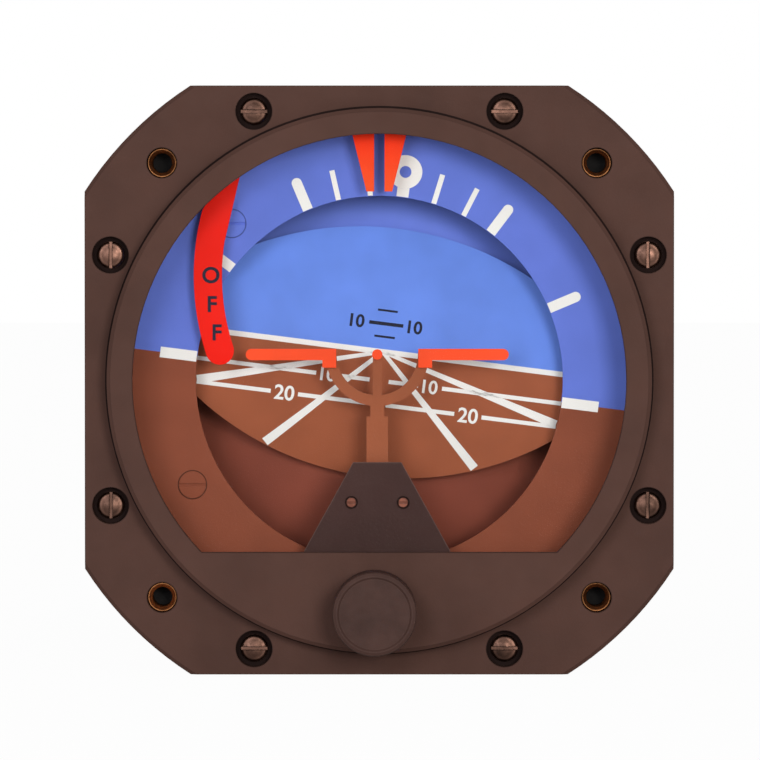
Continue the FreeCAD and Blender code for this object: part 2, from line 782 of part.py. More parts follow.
def make_shield_and_guide():
    shield = Piece("centre_shield")
    x = "carriage_x"
    plate = outline(
        (f"{x} - shield_top_half", "-shield_top"),
        (f"{x} - shield_base_half", "-window_chord"),
        (f"{x} - shield_base_half", "-shield_foot"),
        (f"{x} + shield_base_half", "-shield_foot"),
        (f"{x} + shield_base_half", "-window_chord"),
        (f"{x} + shield_top_half", "-shield_top"),
    )
    shank = "shield_screw_radius - 0.2"
    holes = [circle(*place, shank) for place in shield_screw_places()]
    shield.pad("wall_back", "shield_thick", plate, *holes)

    screws = Piece("shield_screws")
    head = "shield_screw_height"
    screws.pad(f"wall_back - {head}", head, *[circle(*p, "shield_screw_radius") for p in shield_screw_places()])
    screws.pad("wall_back", "guide_back - wall_back", *holes)
    slots = [slot_across(*p, "shield_screw_radius", "0.2") for p in shield_screw_places()]
    screws.cut(f"wall_back - {head}", f"{head} / 2", *slots)

    guide = Piece("carriage_guide")
    plate = outline(
        (f"{x} - guide_top_half", "-guide_top"),
        (f"{x} - shield_base_half + 1", "-window_chord"),
        (f"{x} - guide_foot_half", "-guide_foot_top"),
        (f"{x} - guide_foot_half", "-guide_foot_bottom"),
        (f"{x} - guide_bottom_half", "-guide_bottom"),
        (f"{x} + guide_bottom_half", "-guide_bottom"),
        (f"{x} + guide_foot_half", "-guide_foot_bottom"),
        (f"{x} + guide_foot_half", "-guide_foot_top"),
        (f"{x} + shield_base_half - 1", "-window_chord"),
        (f"{x} + guide_top_half", "-guide_top"),
    )
    guide.pad("guide_front", "guide_thick", plate)
    rail_inner = "post_half + slide_gap"
    rail_top = "rail_half_height - shield_screw_drop"
    rail_bottom = "-rail_half_height - shield_screw_drop"
    rails = [
        box(f"{x} + {rail_inner}", rail_bottom, f"{x} + rail_outer", rail_top),
        box(f"{x} - rail_outer", rail_bottom, f"{x} - ({rail_inner})", rail_top),
    ]
    guide.pad("shield_back", "guide_front - shield_back", *rails)
    foot_inner = "(guide_foot_half - guide_foot_width)"
    feet = [
        box(f"{x} + {foot_inner}", "-guide_foot_bottom", f"{x} + guide_foot_half", "-guide_foot_top"),
        box(f"{x} - guide_foot_half", "-guide_foot_bottom", f"{x} - {foot_inner}", "-guide_foot_top"),
    ]
    guide.pad("wall_back", "guide_front - wall_back", *feet)
    backing = box("rack_back_x + slide_gap", "-guide_bottom", "rack_back_x + rack_rail_width", "-rack_rail_top")
    guide.pad("shield_back + slide_gap", "guide_front - shield_back - slide_gap", backing)
    guide.cut("shield_back", "guide_back - shield_back", *holes)
    guide.cut("guide_front", "guide_thick", circle("knob_x", "knob_z", "shaft_radius + running_gap"))
    screw_holes = [circle(*place, "guide_screw_shank") for place in guide_screw_places()]
    guide.cut("wall_back", "guide_back - wall_back", *screw_holes)
    sinks = [circle(*place, "guide_screw_head + fit_gap") for place in guide_screw_places()]
    guide.cut("guide_back - guide_sink", "guide_sink", *sinks)

    guide_screws = Piece("guide_screws")
    heads = [circle(*place, "guide_screw_head") for place in guide_screw_places()]
    guide_screws.pad("guide_back - guide_sink", "guide_sink - fit_gap", *heads)
    reach = "guide_back - guide_sink - wall_back + small_screw_bite"
    guide_screws.pad("wall_back - small_screw_bite", reach, *screw_holes)


# The adjusting knob, drawn about its own shaft


def make_knob():
    back = "-(boss_height + knob_gap)"
    front = "-(boss_height + knob_gap + knob_length)"
    socket = "0.65 * knob_length"
    knob = Piece("adjusting_knob", "knob")
    knob.turn(
        (f"{front} + knob_dish", "0"),
        (f"{front} + knob_dish", "knob_radius - knob_rim"),
        (front, "knob_radius - knob_rim + knob_dish"),
        (front, "knob_radius - knob_round"),
        (f"{front} + 0.3 * knob_round", "knob_radius - 0.3 * knob_round"),
        (f"{front} + knob_round", "knob_radius"),
        (back, "knob_radius"),
        (back, "0"),
    )
    knob.cut(f"{back} - {socket}", socket, circle("0", "0", "shaft_radius"))
    screw_depth = f"({back} - knob_length / 3)"
    knob.cut("-knob_radius - 1", "knob_radius + 1", circle("0", screw_depth, "set_screw_radius"), view="level")

    set_screw = Piece("knob_set_screw", "knob")
    length = "knob_radius - shaft_radius - 0.4"
    set_screw.pad("0.4 - knob_radius", length, circle("0", screw_depth, "set_screw_radius"), view="level")

    shaft = Piece("knob_shaft", "knob")
    shaft_front = f"({back} - {socket})"
    shaft.pad(shaft_front, f"guide_back + 0.2 - {shaft_front}", circle("0", "0", "shaft_radius"))

    bushing = Piece("knob_bushing", "knob_seat")
    bore = circle("0", "0", "shaft_radius + running_gap")
    bushing.pad("-boss_height", "boss_height + wall_back", circle("0", "0", "bushing_radius"), bore)

    collar = Piece("shaft_collar", "knob")
    shaft_hole = circle("0", "0", "shaft_radius")
    collar.pad("wall_back + slide_gap", "collar_depth", circle("0", "0", "bushing_radius - 0.2"), shaft_hole)

    pinion = Piece("knob_pinion", "knob")
    root = "pitch_line_radius - tooth_root"
    pinion.pad("bracket_front - slide_gap", "bracket_thick + slide_gap", circle("0", "0", root))
    tip, root_half = "tooth_tip_half", "tooth_root_half"
    tooth = outline(
        (f"{root} - 0.1", f"-{root_half}"),
        ("pitch_line_radius + tooth_tip", f"-{tip}"),
        ("pitch_line_radius + tooth_tip", tip),
        (f"{root} - 0.1", root_half),
    )
    tooth = pinion.pad("bracket_front - slide_gap", "bracket_thick + slide_gap", tooth)
    pinion.repeat([tooth], int(SIZES["pinion_teeth"]))
    pinion.cut("bracket_front - slide_gap", "bracket_thick + slide_gap", shaft_hole)


# The roll group: dial, sky, gimbal frame


DIAL_SCREW_ANGLES = [name for name in SIZES if name.startswith("dial_screw_angle")]


def dial_screw_places():
    return [on_circle("dial_screw_circle", angle) for angle in DIAL_SCREW_ANGLES]


def make_dial():
    places = dial_screw_places()
    dial = Piece("roll_dial", "roll")
    dial.pad("dial_front", "dial_thick", circle("0", "0", "dial_outer_radius"), circle("0", "0", "dial_inner_radius"))
    holes = [circle(*place, "dial_screw_shank") for place in places]
    dial.cut("dial_front", "dial_thick", *holes)
    dial.cut("dial_front", "dial_thick / 2", *[circle(*p, "dial_screw_radius + fit_gap") for p in places])

    screws = Piece("dial_screws", "roll")
    head_front = "dial_front - dial_screw_proud"
    head = "dial_screw_proud + dial_thick / 2"
    screws.pad(head_front, head, *[circle(*place, "dial_screw_radius") for place in places])
    screws.pad("dial_front + dial_thick / 2", "carrier_back - dial_front - dial_thick / 2", *holes)
    slots = [slot_across(*place, "dial_screw_radius", "screw_slot") for place in places]
    screws.cut(head_front, f"({head}) / 2", *slots)

    carrier = Piece("dial_carrier", "roll")
    rings = [circle("0", "0", "carrier_outer_radius"), circle("0", "0", "carrier_inner_radius")]
    carrier.pad("dial_back", "carrier_depth", *rings)
    carrier.cut("dial_back", "carrier_depth", *holes)

    struts = Piece("dial_struts", "roll")
    corners = [circle(f"{a}strut_x", f"{b}strut_z", "strut_radius") for a in ("", "-") for b in ("", "-")]
    struts.pad("carrier_back", "front_plate_front - carrier_back", *corners)


DOME_STEPS = 4


def dome_profile(radius, rim):
    """Points down a shallow dome from its top to its rim, joined by straight lines to keep its faces few."""
    centre = "(sky_front + sky_radius)"
    across = [f"({rim}) * {step} / {DOME_STEPS}" for step in range(DOME_STEPS + 1)]
    return [(f"{centre} - sqrt(({radius})^2 - ({r})^2)", r) for r in across]


def make_sky():
    """A shallow dome painted as sky and ground, with a skirt down to the gimbal's front plate."""
    sky = Piece("sky_background", "roll")
    inner_rim = "(sky_rim_radius - sky_wall)"
    outside = dome_profile("sky_radius", "sky_rim_radius")
    inside = dome_profile("sky_radius - sky_wall", inner_rim)
    skirt = [("front_plate_front", "sky_rim_radius"), ("front_plate_front", inner_rim)]
    sky.turn(*outside, *skirt, *reversed(inside))


def make_gimbal():
    plate = Piece("gimbal_front_plate", "roll")
    notches = [
        box("notch_inner", "-notch_half", "carrier_outer_radius + 1", "notch_half"),
        box("-carrier_outer_radius - 1", "-notch_half", "-notch_inner", "notch_half"),
    ]
    disc = [circle("0", "0", "carrier_outer_radius"), circle("0", "0", "front_plate_bore")]
    plate.pad("front_plate_front", "front_plate_thick", *disc)
    plate.cut("front_plate_front", "front_plate_thick", *notches)

    frame = Piece("gimbal_frame", "roll")
    side = outline(
        ("front_plate_back", "-frame_half"),
        ("frame_waist", "-frame_half"),
        ("frame_back", "-frame_tail_half"),
        ("frame_back", "frame_tail_half"),
        ("frame_waist", "frame_half"),
        ("front_plate_back", "frame_half"),
    )
    frame.pad("frame_inner", "frame_thick", side, view="side")
    frame.pad("-frame_outer", "frame_thick", side, view="side")
    back = box("-frame_inner", "-frame_tail_half", "frame_inner", "frame_tail_half")
    frame.pad("frame_back - frame_back_thick", "frame_back_thick", back)
    through = ("-frame_outer", "2 * frame_outer")
    frame.cut(*through, circle("pitch_axis", "0", "pitch_bearing_radius"), view="side")
    frame.cut(*through, circle("arm_axis", "0", "arm_pivot_radius"), view="side")
    lightening = box("frame_waist - 4", "-frame_tail_half / 2", "frame_waist + 9", "frame_tail_half / 2")
    frame.cut(*through, lightening, view="side")
    slot = sector(
        "crank_reach - crank_slot_half",
        "crank_reach + crank_slot_half",
        "180 - pitch_limit - 8",
        "180 + pitch_limit + 8",
        "pitch_axis",
    )
    frame.cut("frame_inner", "frame_thick", slot, view="side")

    bearings = Piece("pitch_bearings", "roll")
    race = [
        circle("pitch_axis", "0", "pitch_bearing_radius"),
        circle("pitch_axis", "0", "trunnion_radius + running_gap"),
    ]
    bearings.pad("frame_inner", "frame_thick", *race, view="side")
    bearings.pad("-frame_outer", "frame_thick", *race, view="side")

    pivots = Piece("arm_pivots", "roll")
    shoulder = "arm_inner - frame_outer - slide_gap"
    head_inner = "arm_outer + slide_gap"
    screw = circle("arm_axis", "0", "arm_pivot_radius")
    collar = circle("arm_axis", "0", "2 * arm_pivot_radius")
    pivots.pad("frame_inner", f"{head_inner} - frame_inner", screw, view="side")
    pivots.pad("frame_outer", shoulder, collar, view="side")
    pivots.pad(head_inner, "1", collar, view="side")
    pivots.pad(f"-({head_inner})", f"{head_inner} - frame_inner", screw, view="side")
    pivots.pad(f"-frame_outer - ({shoulder})", shoulder, collar, view="side")
    pivots.pad(f"-({head_inner}) - 1", "1", collar, view="side")

    spindle = Piece("roll_spindle", "roll")
    spindle.turn(
        ("frame_back", "0"),
        ("frame_back", "frame_tail_half - 0.5"),
        ("frame_back + 2", "frame_tail_half - 0.5"),
        ("frame_back + 2", "spindle_radius + 1.2"),
        ("bearing_front - slide_gap", "spindle_radius + 1.2"),
        ("bearing_front - slide_gap", "spindle_radius"),
        ("bearing_back + 1", "spindle_radius"),
        ("bearing_back + 1", "spindle_radius - 1"),
        ("bearing_back + 2 + slip_ring_length", "spindle_radius - 1"),
        ("bearing_back + 2 + slip_ring_length", "0"),
    )
    rings = Piece("slip_rings", "roll")
    profile = [("bearing_back + 1.5", "spindle_radius - 1"), ("bearing_back + 1.5", "slip_ring_radius")]
    for number in range(1, 4):
        groove = f"bearing_back + 1.5 + slip_ring_length * {number} / 4"
        profile.append((f"{groove} - 0.3", "slip_ring_radius"))
        profile.append((f"{groove} - 0.3", "slip_ring_radius - 0.6"))
        profile.append((f"{groove} + 0.3", "slip_ring_radius - 0.6"))
        profile.append((f"{groove} + 0.3", "slip_ring_radius"))
    profile.append(("bearing_back + 1.5 + slip_ring_length", "slip_ring_radius"))
    profile.append(("bearing_back + 1.5 + slip_ring_length", "spindle_radius - 1"))
    rings.turn(*profile)


# The horizon: a lens-shaped disc on two arms, rolled to the arc its arms swing it through


def make_horizon():
    disc = Piece("horizon_disc", "horizon")
    shell = sector("disc_radius - disc_thick", "disc_radius", "164", "196", "arm_axis")
    disc.pad("-arm_outer", "2 * arm_outer", shell, view="side")
    top = [
        ("arm_outer", "-tab_half"),
        ("arm_outer", "tab_half"),
        ("lens_half_width", "tab_half"),
        ("lens_half_width", "lens_shoulder", "lens_radius"),
        ("-lens_half_width", "lens_shoulder"),
        ("-lens_half_width", "tab_half"),
    ]
    bottom = [
        ("-arm_outer", "tab_half"),
        ("-arm_outer", "-tab_half"),
        ("-lens_half_width", "-tab_half"),
        ("-lens_half_width", "-lens_shoulder", "lens_radius"),
        ("lens_half_width", "-lens_shoulder"),
        ("lens_half_width", "-tab_half"),
    ]
    lens = outline(*top, *bottom)
    far = "lens_radius"
    blank = box(f"-{far} - 2", f"-{far}", f"{far} + 2", far)
    disc.cut("disc_front - 1", "10", blank, lens)

    arms = Piece("horizon_arms", "horizon")
    pin_y = "(pitch_axis - crank_reach)"
    tail = "(arm_axis + counterweight_reach + 2)"
    lower = [
        ("disc_front + disc_thick + fit_gap", "-arm_half"),
        (f"{pin_y} - 6", "-arm_half"),
        (f"{pin_y} - 3", "-arm_slot_pad"),
        (f"{pin_y} + 6", "-arm_slot_pad"),
        (f"{pin_y} + 9", "-arm_half"),
        ("arm_axis - 6", "-arm_half"),
        ("arm_axis - 3", "-arm_slot_pad"),
        ("arm_axis + 3", "-arm_slot_pad"),
        ("arm_axis + 6", "-arm_half"),
        (tail, "-arm_half"),
    ]
    upper = [(y, z[1:]) for y, z in reversed(lower)]
    side = outline(*lower, *upper)
    arms.pad("arm_inner", "arm_thick", side, view="side")
    arms.pad("-arm_outer", "arm_thick", side, view="side")
    through = ("-arm_outer", "2 * arm_outer")
    arms.cut(*through, circle("arm_axis", "0", "arm_pivot_radius + running_gap"), view="side")
    slot = box(f"{pin_y} - 1.4", "-crank_slot_half", f"{pin_y} + 4", "crank_slot_half")
    arms.cut("arm_inner", "arm_thick", slot, view="side")

    weights = Piece("arm_counterweights", "horizon")
    drum = circle("arm_axis + counterweight_reach", "0", "counterweight_radius")
    weights.pad("arm_outer", "counterweight_thick", drum, view="side")
    weights.pad("-arm_outer - counterweight_thick", "counterweight_thick", drum, view="side")


# The gyro: a spinning wheel in a sealed drum, drawn about the pitch axis


def make_gyro():
    wall_z = "drum_inner_half"
    seat_z = "(drum_inner_half - gyro_bearing_width)"
    hub = "(gyro_bearing_radius + 1.5)"
    cup = Piece("gyro_housing", "pitch")
    cup.turn(
        ("0", "-drum_half"),
        ("drum_radius", "-drum_half"),
        ("drum_radius", "drum_split"),
        ("drum_inner_radius", "drum_split"),
        ("drum_inner_radius", f"-{wall_z}"),
        (hub, f"-{wall_z}"),
        (hub, "-stator_top"),
        ("rotor_shaft_radius + 0.7", "-stator_top"),
        ("rotor_shaft_radius + 0.7", f"-{seat_z}"),
        ("gyro_bearing_radius", f"-{seat_z}"),
        ("gyro_bearing_radius", f"-{wall_z}"),
        ("0", f"-{wall_z}"),
        view="front",
    )
    boss = circle("0", "0", "pitch_bearing_radius + 0.5")
    pin_hole = circle("0", "0", "trunnion_radius")
    boss_start = "(drum_inner_radius - 0.3)"
    boss_end = "(frame_inner - boss_gap)"
    cup.pad(boss_start, f"{boss_end} - {boss_start}", boss, view="side")
    cup.pad(f"-{boss_end}", f"{boss_end} - {boss_start}", boss, view="side")
    hole_start = "(drum_radius - 0.5)"
    cup.cut(hole_start, f"{boss_end} - {hole_start}", pin_hole, view="side")
    cup.cut(f"-{boss_end}", f"{boss_end} - {hole_start}", pin_hole, view="side")

    cap = Piece("gyro_housing_cap", "pitch")
    cap.turn(
        ("0", "drum_half"),
        ("drum_radius", "drum_half"),
        ("drum_radius", "drum_split"),
        ("drum_inner_radius", "drum_split"),
        ("drum_inner_radius", wall_z),
        (hub, wall_z),
        (hub, seat_z),
        ("gyro_bearing_radius", seat_z),
        ("gyro_bearing_radius", wall_z),
        ("0", wall_z),
        view="front",
    )

    trunnions = Piece("pitch_trunnions", "pitch")
    trunnion_end = "(frame_outer + 0.6)"
    trunnions.pad(hole_start, f"{trunnion_end} - {hole_start}", pin_hole, view="side")
    trunnions.pad(f"-{trunnion_end}", f"{trunnion_end} - {hole_start}", pin_hole, view="side")

    crank = Piece("drive_crank", "pitch")
    lever = box("-crank_reach - 1.7", "-2", "3", "2")
    crank.pad(boss_end, "crank_thick", lever, pin_hole, view="side")
    crank_pin = circle("-crank_reach", "0", "crank_pin_radius")
    crank.pad(boss_end, f"arm_outer + 0.6 - {boss_end}", crank_pin, view="side")

    stator = Piece("motor_stator", "pitch")
    winding = [circle("0", "0", "rotor_radius - rotor_rim - 1"), circle("0", "0", hub)]
    stator.pad(f"-{seat_z} + 2", f"{seat_z} - 2 - stator_top", *winding, view="level")

    wheel = Piece("gyro_wheel", "rotor")
    wheel.turn(
        ("rotor_shaft_radius", "0.5 - stator_top"),
        ("gyro_bearing_radius", "0.5 - stator_top"),
        ("gyro_bearing_radius", "2"),
        ("rotor_radius - rotor_rim", "2"),
        ("rotor_radius - rotor_rim", "rotor_lift - rotor_half"),
        ("rotor_radius", "rotor_lift - rotor_half"),
        ("rotor_radius", "rotor_lift + rotor_half"),
        ("rotor_radius - rotor_rim", "rotor_lift + rotor_half"),
        ("rotor_radius - rotor_rim", "5"),
        ("gyro_bearing_radius", "5"),
        ("gyro_bearing_radius", "rotor_lift + rotor_half"),
        ("rotor_shaft_radius", "rotor_lift + rotor_half"),
        view="front",
    )
    axle = Piece("gyro_shaft", "rotor")
    axle.pad("0.2 - drum_inner_half", "2 * drum_inner_half - 0.4", circle("0", "0", "rotor_shaft_radius"), view="level")

    races = Piece("gyro_bearings", "pitch")
    race = [circle("0", "0", "gyro_bearing_radius"), circle("0", "0", "rotor_shaft_radius + running_gap")]
    races.pad(f"-{wall_z}", "gyro_bearing_width", *race, view="level")
    races.pad(seat_z, "gyro_bearing_width", *race, view="level")

    erector = Piece("erector", "pitch")
    erector.pad("-drum_half - erector_depth", "erector_depth", circle("0", "0", "erector_radius"), view="level")


# The rear: case, bulkhead, electronics, connector


def make_case():
    gasket = Piece("case_gasket")
    ring = [circle("0", "0", "case_corner_radius"), circle("0", "0", "can_inner_radius")]
    gasket.pad("flange_depth", "case_gasket_thick", *ring)
    square_off(gasket, "case_half", "case_corner_radius", "flange_depth", "case_gasket_thick")
    flange_holes(gasket, "flange_depth", "case_gasket_thick")

    case = Piece("case_body")
    case.turn(
        ("case_front", "can_inner_radius"),
        ("case_front", "case_corner_radius"),
        ("case_flange_back", "case_corner_radius"),
        ("case_flange_back", "can_radius"),
        ("can_back", "can_radius"),
        ("can_back", "can_rim_radius"),
        ("can_back - can_rim_depth", "can_rim_radius"),
        ("can_back - can_rim_depth", "can_inner_radius"),
    )
    square_off(case, "case_half", "case_corner_radius", "case_front", "case_flange_depth")
    flange_holes(case, "case_front", "case_flange_depth")
    cover_holes = case.cut("can_back - can_rim_depth", "can_rim_depth", cover_screw("cover_screw_radius"))
    case.repeat([cover_holes], 6)

    cover = Piece("rear_cover")
    cover.turn(
        ("can_back - 2", "0"),
        ("can_back - 2", "can_rim_radius - fit_gap"),
        ("can_back", "can_rim_radius - fit_gap"),
        ("can_back", "can_radius"),
        ("cover_back - edge_break", "can_radius"),
        ("cover_back", "can_radius - edge_break"),
        ("cover_back", "0"),
    )
    cover.cut("can_back - 2", "cover_thick + 2", circle("0", "0", "connector_bore"))
    cover_holes = cover.cut("can_back", "cover_thick", cover_screw("cover_screw_radius"))
    cover.repeat([cover_holes], 6)

    screws = Piece("rear_screws")
    height = "cover_screw_height"
    heads = screws.pad("cover_back", height, cover_screw("cover_screw_head"))
    shanks = screws.pad("can_back - 5", "cover_thick + 5", cover_screw("cover_screw_radius"))
    centre = on_circle("cover_screw_circle", "30")
    slot = slot_across(*centre, "cover_screw_head", "screw_slot")
    slots = screws.cut(f"cover_back + {height} / 2", f"{height} / 2", slot)
    screws.repeat([heads, shanks, slots], 6)
    back = "cover_back + connector_flange_thick"
    places = connector_screw_places()
    screws.pad(back, height, *[circle(*place, "cover_screw_head") for place in places])
    screws.pad("cover_back", "connector_flange_thick", *[circle(*place, "cover_screw_radius") for place in places])
    corner_slots = [slot_across(*place, "cover_screw_head", "screw_slot") for place in places]
    screws.cut(f"{back} + {height} / 2", f"{height} / 2", *corner_slots)


def cover_screw(radius):
    return circle(*on_circle("cover_screw_circle", "30"), radius)


def flange_holes(piece, front, depth):
    holes = piece.cut(front, depth, *[circle(*p, "screw_shank_radius + fit_gap") for p in flange_screw_places()])
    piece.repeat([holes], 4)


def make_rear():
    housing = Piece("bearing_housing")
    outer = "can_inner_radius - fit_gap"
    seat_depth = "bearing_width"
    housing.turn(
        ("bearing_front", "bearing_radius"),
        ("bearing_front", "bearing_tube_radius"),
        ("bulkhead_front", "bearing_tube_radius"),
        ("bulkhead_front", outer),
        ("bulkhead_back", outer),
        ("bulkhead_back", "bearing_tube_radius"),
        ("bearing_back", "bearing_tube_radius"),
        ("bearing_back", "bearing_radius"),
        (f"bearing_back - {seat_depth}", "bearing_radius"),
        (f"bearing_back - {seat_depth}", "bearing_radius - 1.5"),
        (f"bearing_front + {seat_depth}", "bearing_radius - 1.5"),
        (f"bearing_front + {seat_depth}", "bearing_radius"),
    )
    places = [on_circle("board_post_circle", angle) for angle in ("90", "210", "330")]
    housing.pad("bulkhead_back", "board_front - bulkhead_back", *[circle(*p, "board_post_radius") for p in places])

    bearings = Piece("roll_bearings")
    race = [circle("0", "0", "bearing_radius"), circle("0", "0", "spindle_radius + running_gap")]
    for front in ("bearing_front", f"bearing_back - {seat_depth}"):
        bearings.pad(front, "bearing_width", *race)

    brushes = Piece("brush_block")
    outer = "bearing_tube_radius - 1"
    brushes.pad("bearing_back", "1.4", box("slip_ring_radius + 1", "-4", outer, "4"))
    brushes.pad("bearing_back", "slip_ring_length + 1.5", box("slip_ring_radius + 2.5", "-4", outer, "4"))
    for number in range(4):
        front = f"bearing_back + 1.5 + slip_ring_length * ({number} + 0.5) / 4 - 0.3"
        brushes.pad(front, "0.6", box("slip_ring_radius + fit_gap", "-1", "slip_ring_radius + 2.6", "1"))

    board = Piece("power_board")
    board_ring = [circle("0", "0", "can_inner_radius - 2"), circle("0", "0", "bearing_tube_radius + 1.5")]
    board.pad("board_front", "board_thick", *board_ring)

    parts = Piece("board_parts")
    transformer = box("-transformer_half", "transformer_inner", "transformer_half", "transformer_outer")
    parts.pad("board_back", "transformer_height", transformer)
    cans = [circle(f"{sign}capacitor_x", "capacitor_z", "capacitor_radius") for sign in ("", "-")]
    parts.pad("board_back", "capacitor_height", *cans)
    low, high = "-regulator_bottom", "-regulator_top"
    regulators = [
        box("-regulator_outer", low, "-regulator_inner", high),
        box("regulator_inner", low, "regulator_outer", high),
    ]
    parts.pad("board_back", "regulator_height", *regulators)

    shell = Piece("connector_shell")
    half = "connector_flange"
    shell.pad("cover_back", "connector_flange_thick", box(f"-{half}", f"-{half}", half, half))
    shell.pad("cover_back", "connector_length", circle("0", "0", "connector_radius"))
    shell.cut("cover_back", "connector_length", circle("0", "0", "connector_bore"))
    corner_holes = [circle(*place, "cover_screw_radius") for place in connector_screw_places()]
    shell.cut("cover_back", "connector_flange_thick", *corner_holes)

    insert = Piece("connector_insert")
    insert.pad("cover_back - 1", "insert_depth + 1", circle("0", "0", "connector_bore - fit_gap"))
    pins = Piece("connector_pins")
    places = [on_circle("pin_circle", f"{60 * number}") for number in range(6)]
    pins.pad("cover_back + insert_depth", "pin_length", *[circle(*place, "pin_radius") for place in places])


def connector_screw_places():
    reach = "(connector_flange - 2.6)"
    return [(f"{a}{reach}", f"{b}{reach}") for a in ("", "-") for b in ("", "-")]


def place_groups():
    """Moves each group from the pose it was drawn in to the instrument's resting pose."""
    roll = Placement(Vector(0, 0, 0), Rotation(Vector(0, 1, 0), value("roll_rest")))
    across = Vector(1, 0, 0)
    pitch = Placement(Vector(0, value("pitch_axis"), 0), Rotation(across, -value("pitch_rest")))
    arm_axis = Vector(0, value("arm_axis"), 0)
    swing = Placement(Vector(0, 0, 0), Rotation(across, -value("arm_rest")), arm_axis)
    knob = Placement(Vector(value("knob_x"), 0, value("knob_z")), Rotation())
    aeroplane = Placement(Vector(value("carriage_x"), 0, value("aeroplane_rest")), Rotation())
    poses = {
        "roll": roll,
        "pitch": roll.multiply(pitch),
        "rotor": roll.multiply(pitch),
        "horizon": roll.multiply(swing),
        "knob": knob,
        "knob_seat": knob,
        "aeroplane": aeroplane,
    }
    for piece in Piece.all.values():
        if piece.group in poses:
            piece.body.Placement = poses[piece.group]


def check_and_write():
    for item in doc.Objects:
        if {"Invalid", "Error"} & set(item.State):
            raise RuntimeError(f"{item.Label} failed to build: {item.State}")
    for label, piece in Piece.all.items():
        if piece.body.Shape.isNull() or not piece.body.Shape.isValid():
            raise RuntimeError(f"{label} has no valid shape")
    os.makedirs("parts", exist_ok=True)
    for label, piece in Piece.all.items():
        piece.body.Shape.exportStep(f"parts/{label}.step")
    print(len(Piece.all), "pieces written")


make_bezel()
make_window()
make_flange_fasteners()
make_bank_index()
make_flag()
make_aeroplane()
make_shield_and_guide()
make_knob()
make_dial()
make_sky()
make_gimbal()
make_horizon()
make_gyro()
make_case()
make_rear()
doc.recompute()
place_groups()
doc.recompute()
check_and_write()
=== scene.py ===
import json
import math

import bmesh
import bpy
from mathutils import Matrix, Vector

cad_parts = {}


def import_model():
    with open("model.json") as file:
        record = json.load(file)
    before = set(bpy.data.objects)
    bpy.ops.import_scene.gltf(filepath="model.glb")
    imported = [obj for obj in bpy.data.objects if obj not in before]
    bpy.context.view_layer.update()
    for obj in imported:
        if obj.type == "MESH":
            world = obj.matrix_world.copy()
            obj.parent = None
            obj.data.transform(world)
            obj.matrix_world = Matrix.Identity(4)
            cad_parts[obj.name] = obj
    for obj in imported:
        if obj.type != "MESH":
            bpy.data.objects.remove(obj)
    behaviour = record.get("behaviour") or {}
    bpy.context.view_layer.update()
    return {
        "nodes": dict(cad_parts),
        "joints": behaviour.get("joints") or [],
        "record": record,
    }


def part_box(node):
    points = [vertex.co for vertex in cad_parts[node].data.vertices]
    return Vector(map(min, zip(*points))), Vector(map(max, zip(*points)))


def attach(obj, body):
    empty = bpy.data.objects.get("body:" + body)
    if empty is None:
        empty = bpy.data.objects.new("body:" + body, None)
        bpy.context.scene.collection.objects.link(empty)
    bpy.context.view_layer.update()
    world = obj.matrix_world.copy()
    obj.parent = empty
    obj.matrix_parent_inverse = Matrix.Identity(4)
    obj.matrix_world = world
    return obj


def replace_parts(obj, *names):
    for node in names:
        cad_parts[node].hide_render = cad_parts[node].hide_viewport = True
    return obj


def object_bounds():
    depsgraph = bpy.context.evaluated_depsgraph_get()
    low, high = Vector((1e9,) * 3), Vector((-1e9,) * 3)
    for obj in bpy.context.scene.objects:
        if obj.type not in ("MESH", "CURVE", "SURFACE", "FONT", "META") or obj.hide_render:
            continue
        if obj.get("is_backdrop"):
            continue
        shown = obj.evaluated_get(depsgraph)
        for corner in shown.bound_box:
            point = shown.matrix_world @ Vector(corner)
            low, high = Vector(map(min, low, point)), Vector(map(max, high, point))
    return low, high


# Looks of the attitude indicator: paints, metals and glass on the CAD nodes, and the printed marks, figures,
# letters, screw heads and threads that the CAD leaves to this script. Metres, +X right, +Y away from the pilot,
# +Z up.

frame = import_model()

MM = 0.001
PRINT = 0.05 * MM  # how far a printed mark stands off what it is printed on
INSERT_SPACING = 62.87 * MM  # between neighbouring mounting inserts
DIAL_HOLE = 26.75 * MM  # where the bank marks start, at the dial's inner edge

# The resting pose: how far the dial is rolled, and how far the horizon has swung up on its arms.
ROLL_REST = math.radians(7.2)
HORIZON_REST = math.radians(3.048)


def joint_place(name):
    """Where a joint's axis passes, in the row frame."""
    for joint in frame["joints"]:
        if joint["name"] == name:
            return Vector(joint["pos_m"])
    raise ValueError(name)


ARM_AXIS = joint_place("horizon_swing").y

# ---------------------------------------------------------------------------------------------- materials

WHITE = (250, 249, 246)
DIAL_BLUE = (106, 128, 224)
DIAL_BROWN = (144, 78, 56)
SKY_BLUE = (124, 148, 250)
SKY_BROWN = (150, 80, 64)
DISC_BLUE = (111, 148, 243)
DISC_BROWN = (164, 92, 63)


EVEN = (1, 1, 1)  # a texture that runs the same way along every axis
CLOUD = (0.3, 0.7)  # the span that most of a noise lies in


def linear(colour):
    """An RGBA colour for a shader from red, green and blue out of 255."""
    channels = [c / 255 for c in colour]
    return [c / 12.92 if c <= 0.04045 else ((c + 0.055) / 1.055) ** 2.4 for c in channels] + [1.0]


def darker(colour, share):
    """That share less of each channel; a negative share is lighter."""
    return tuple(c * (1 - share) for c in colour)


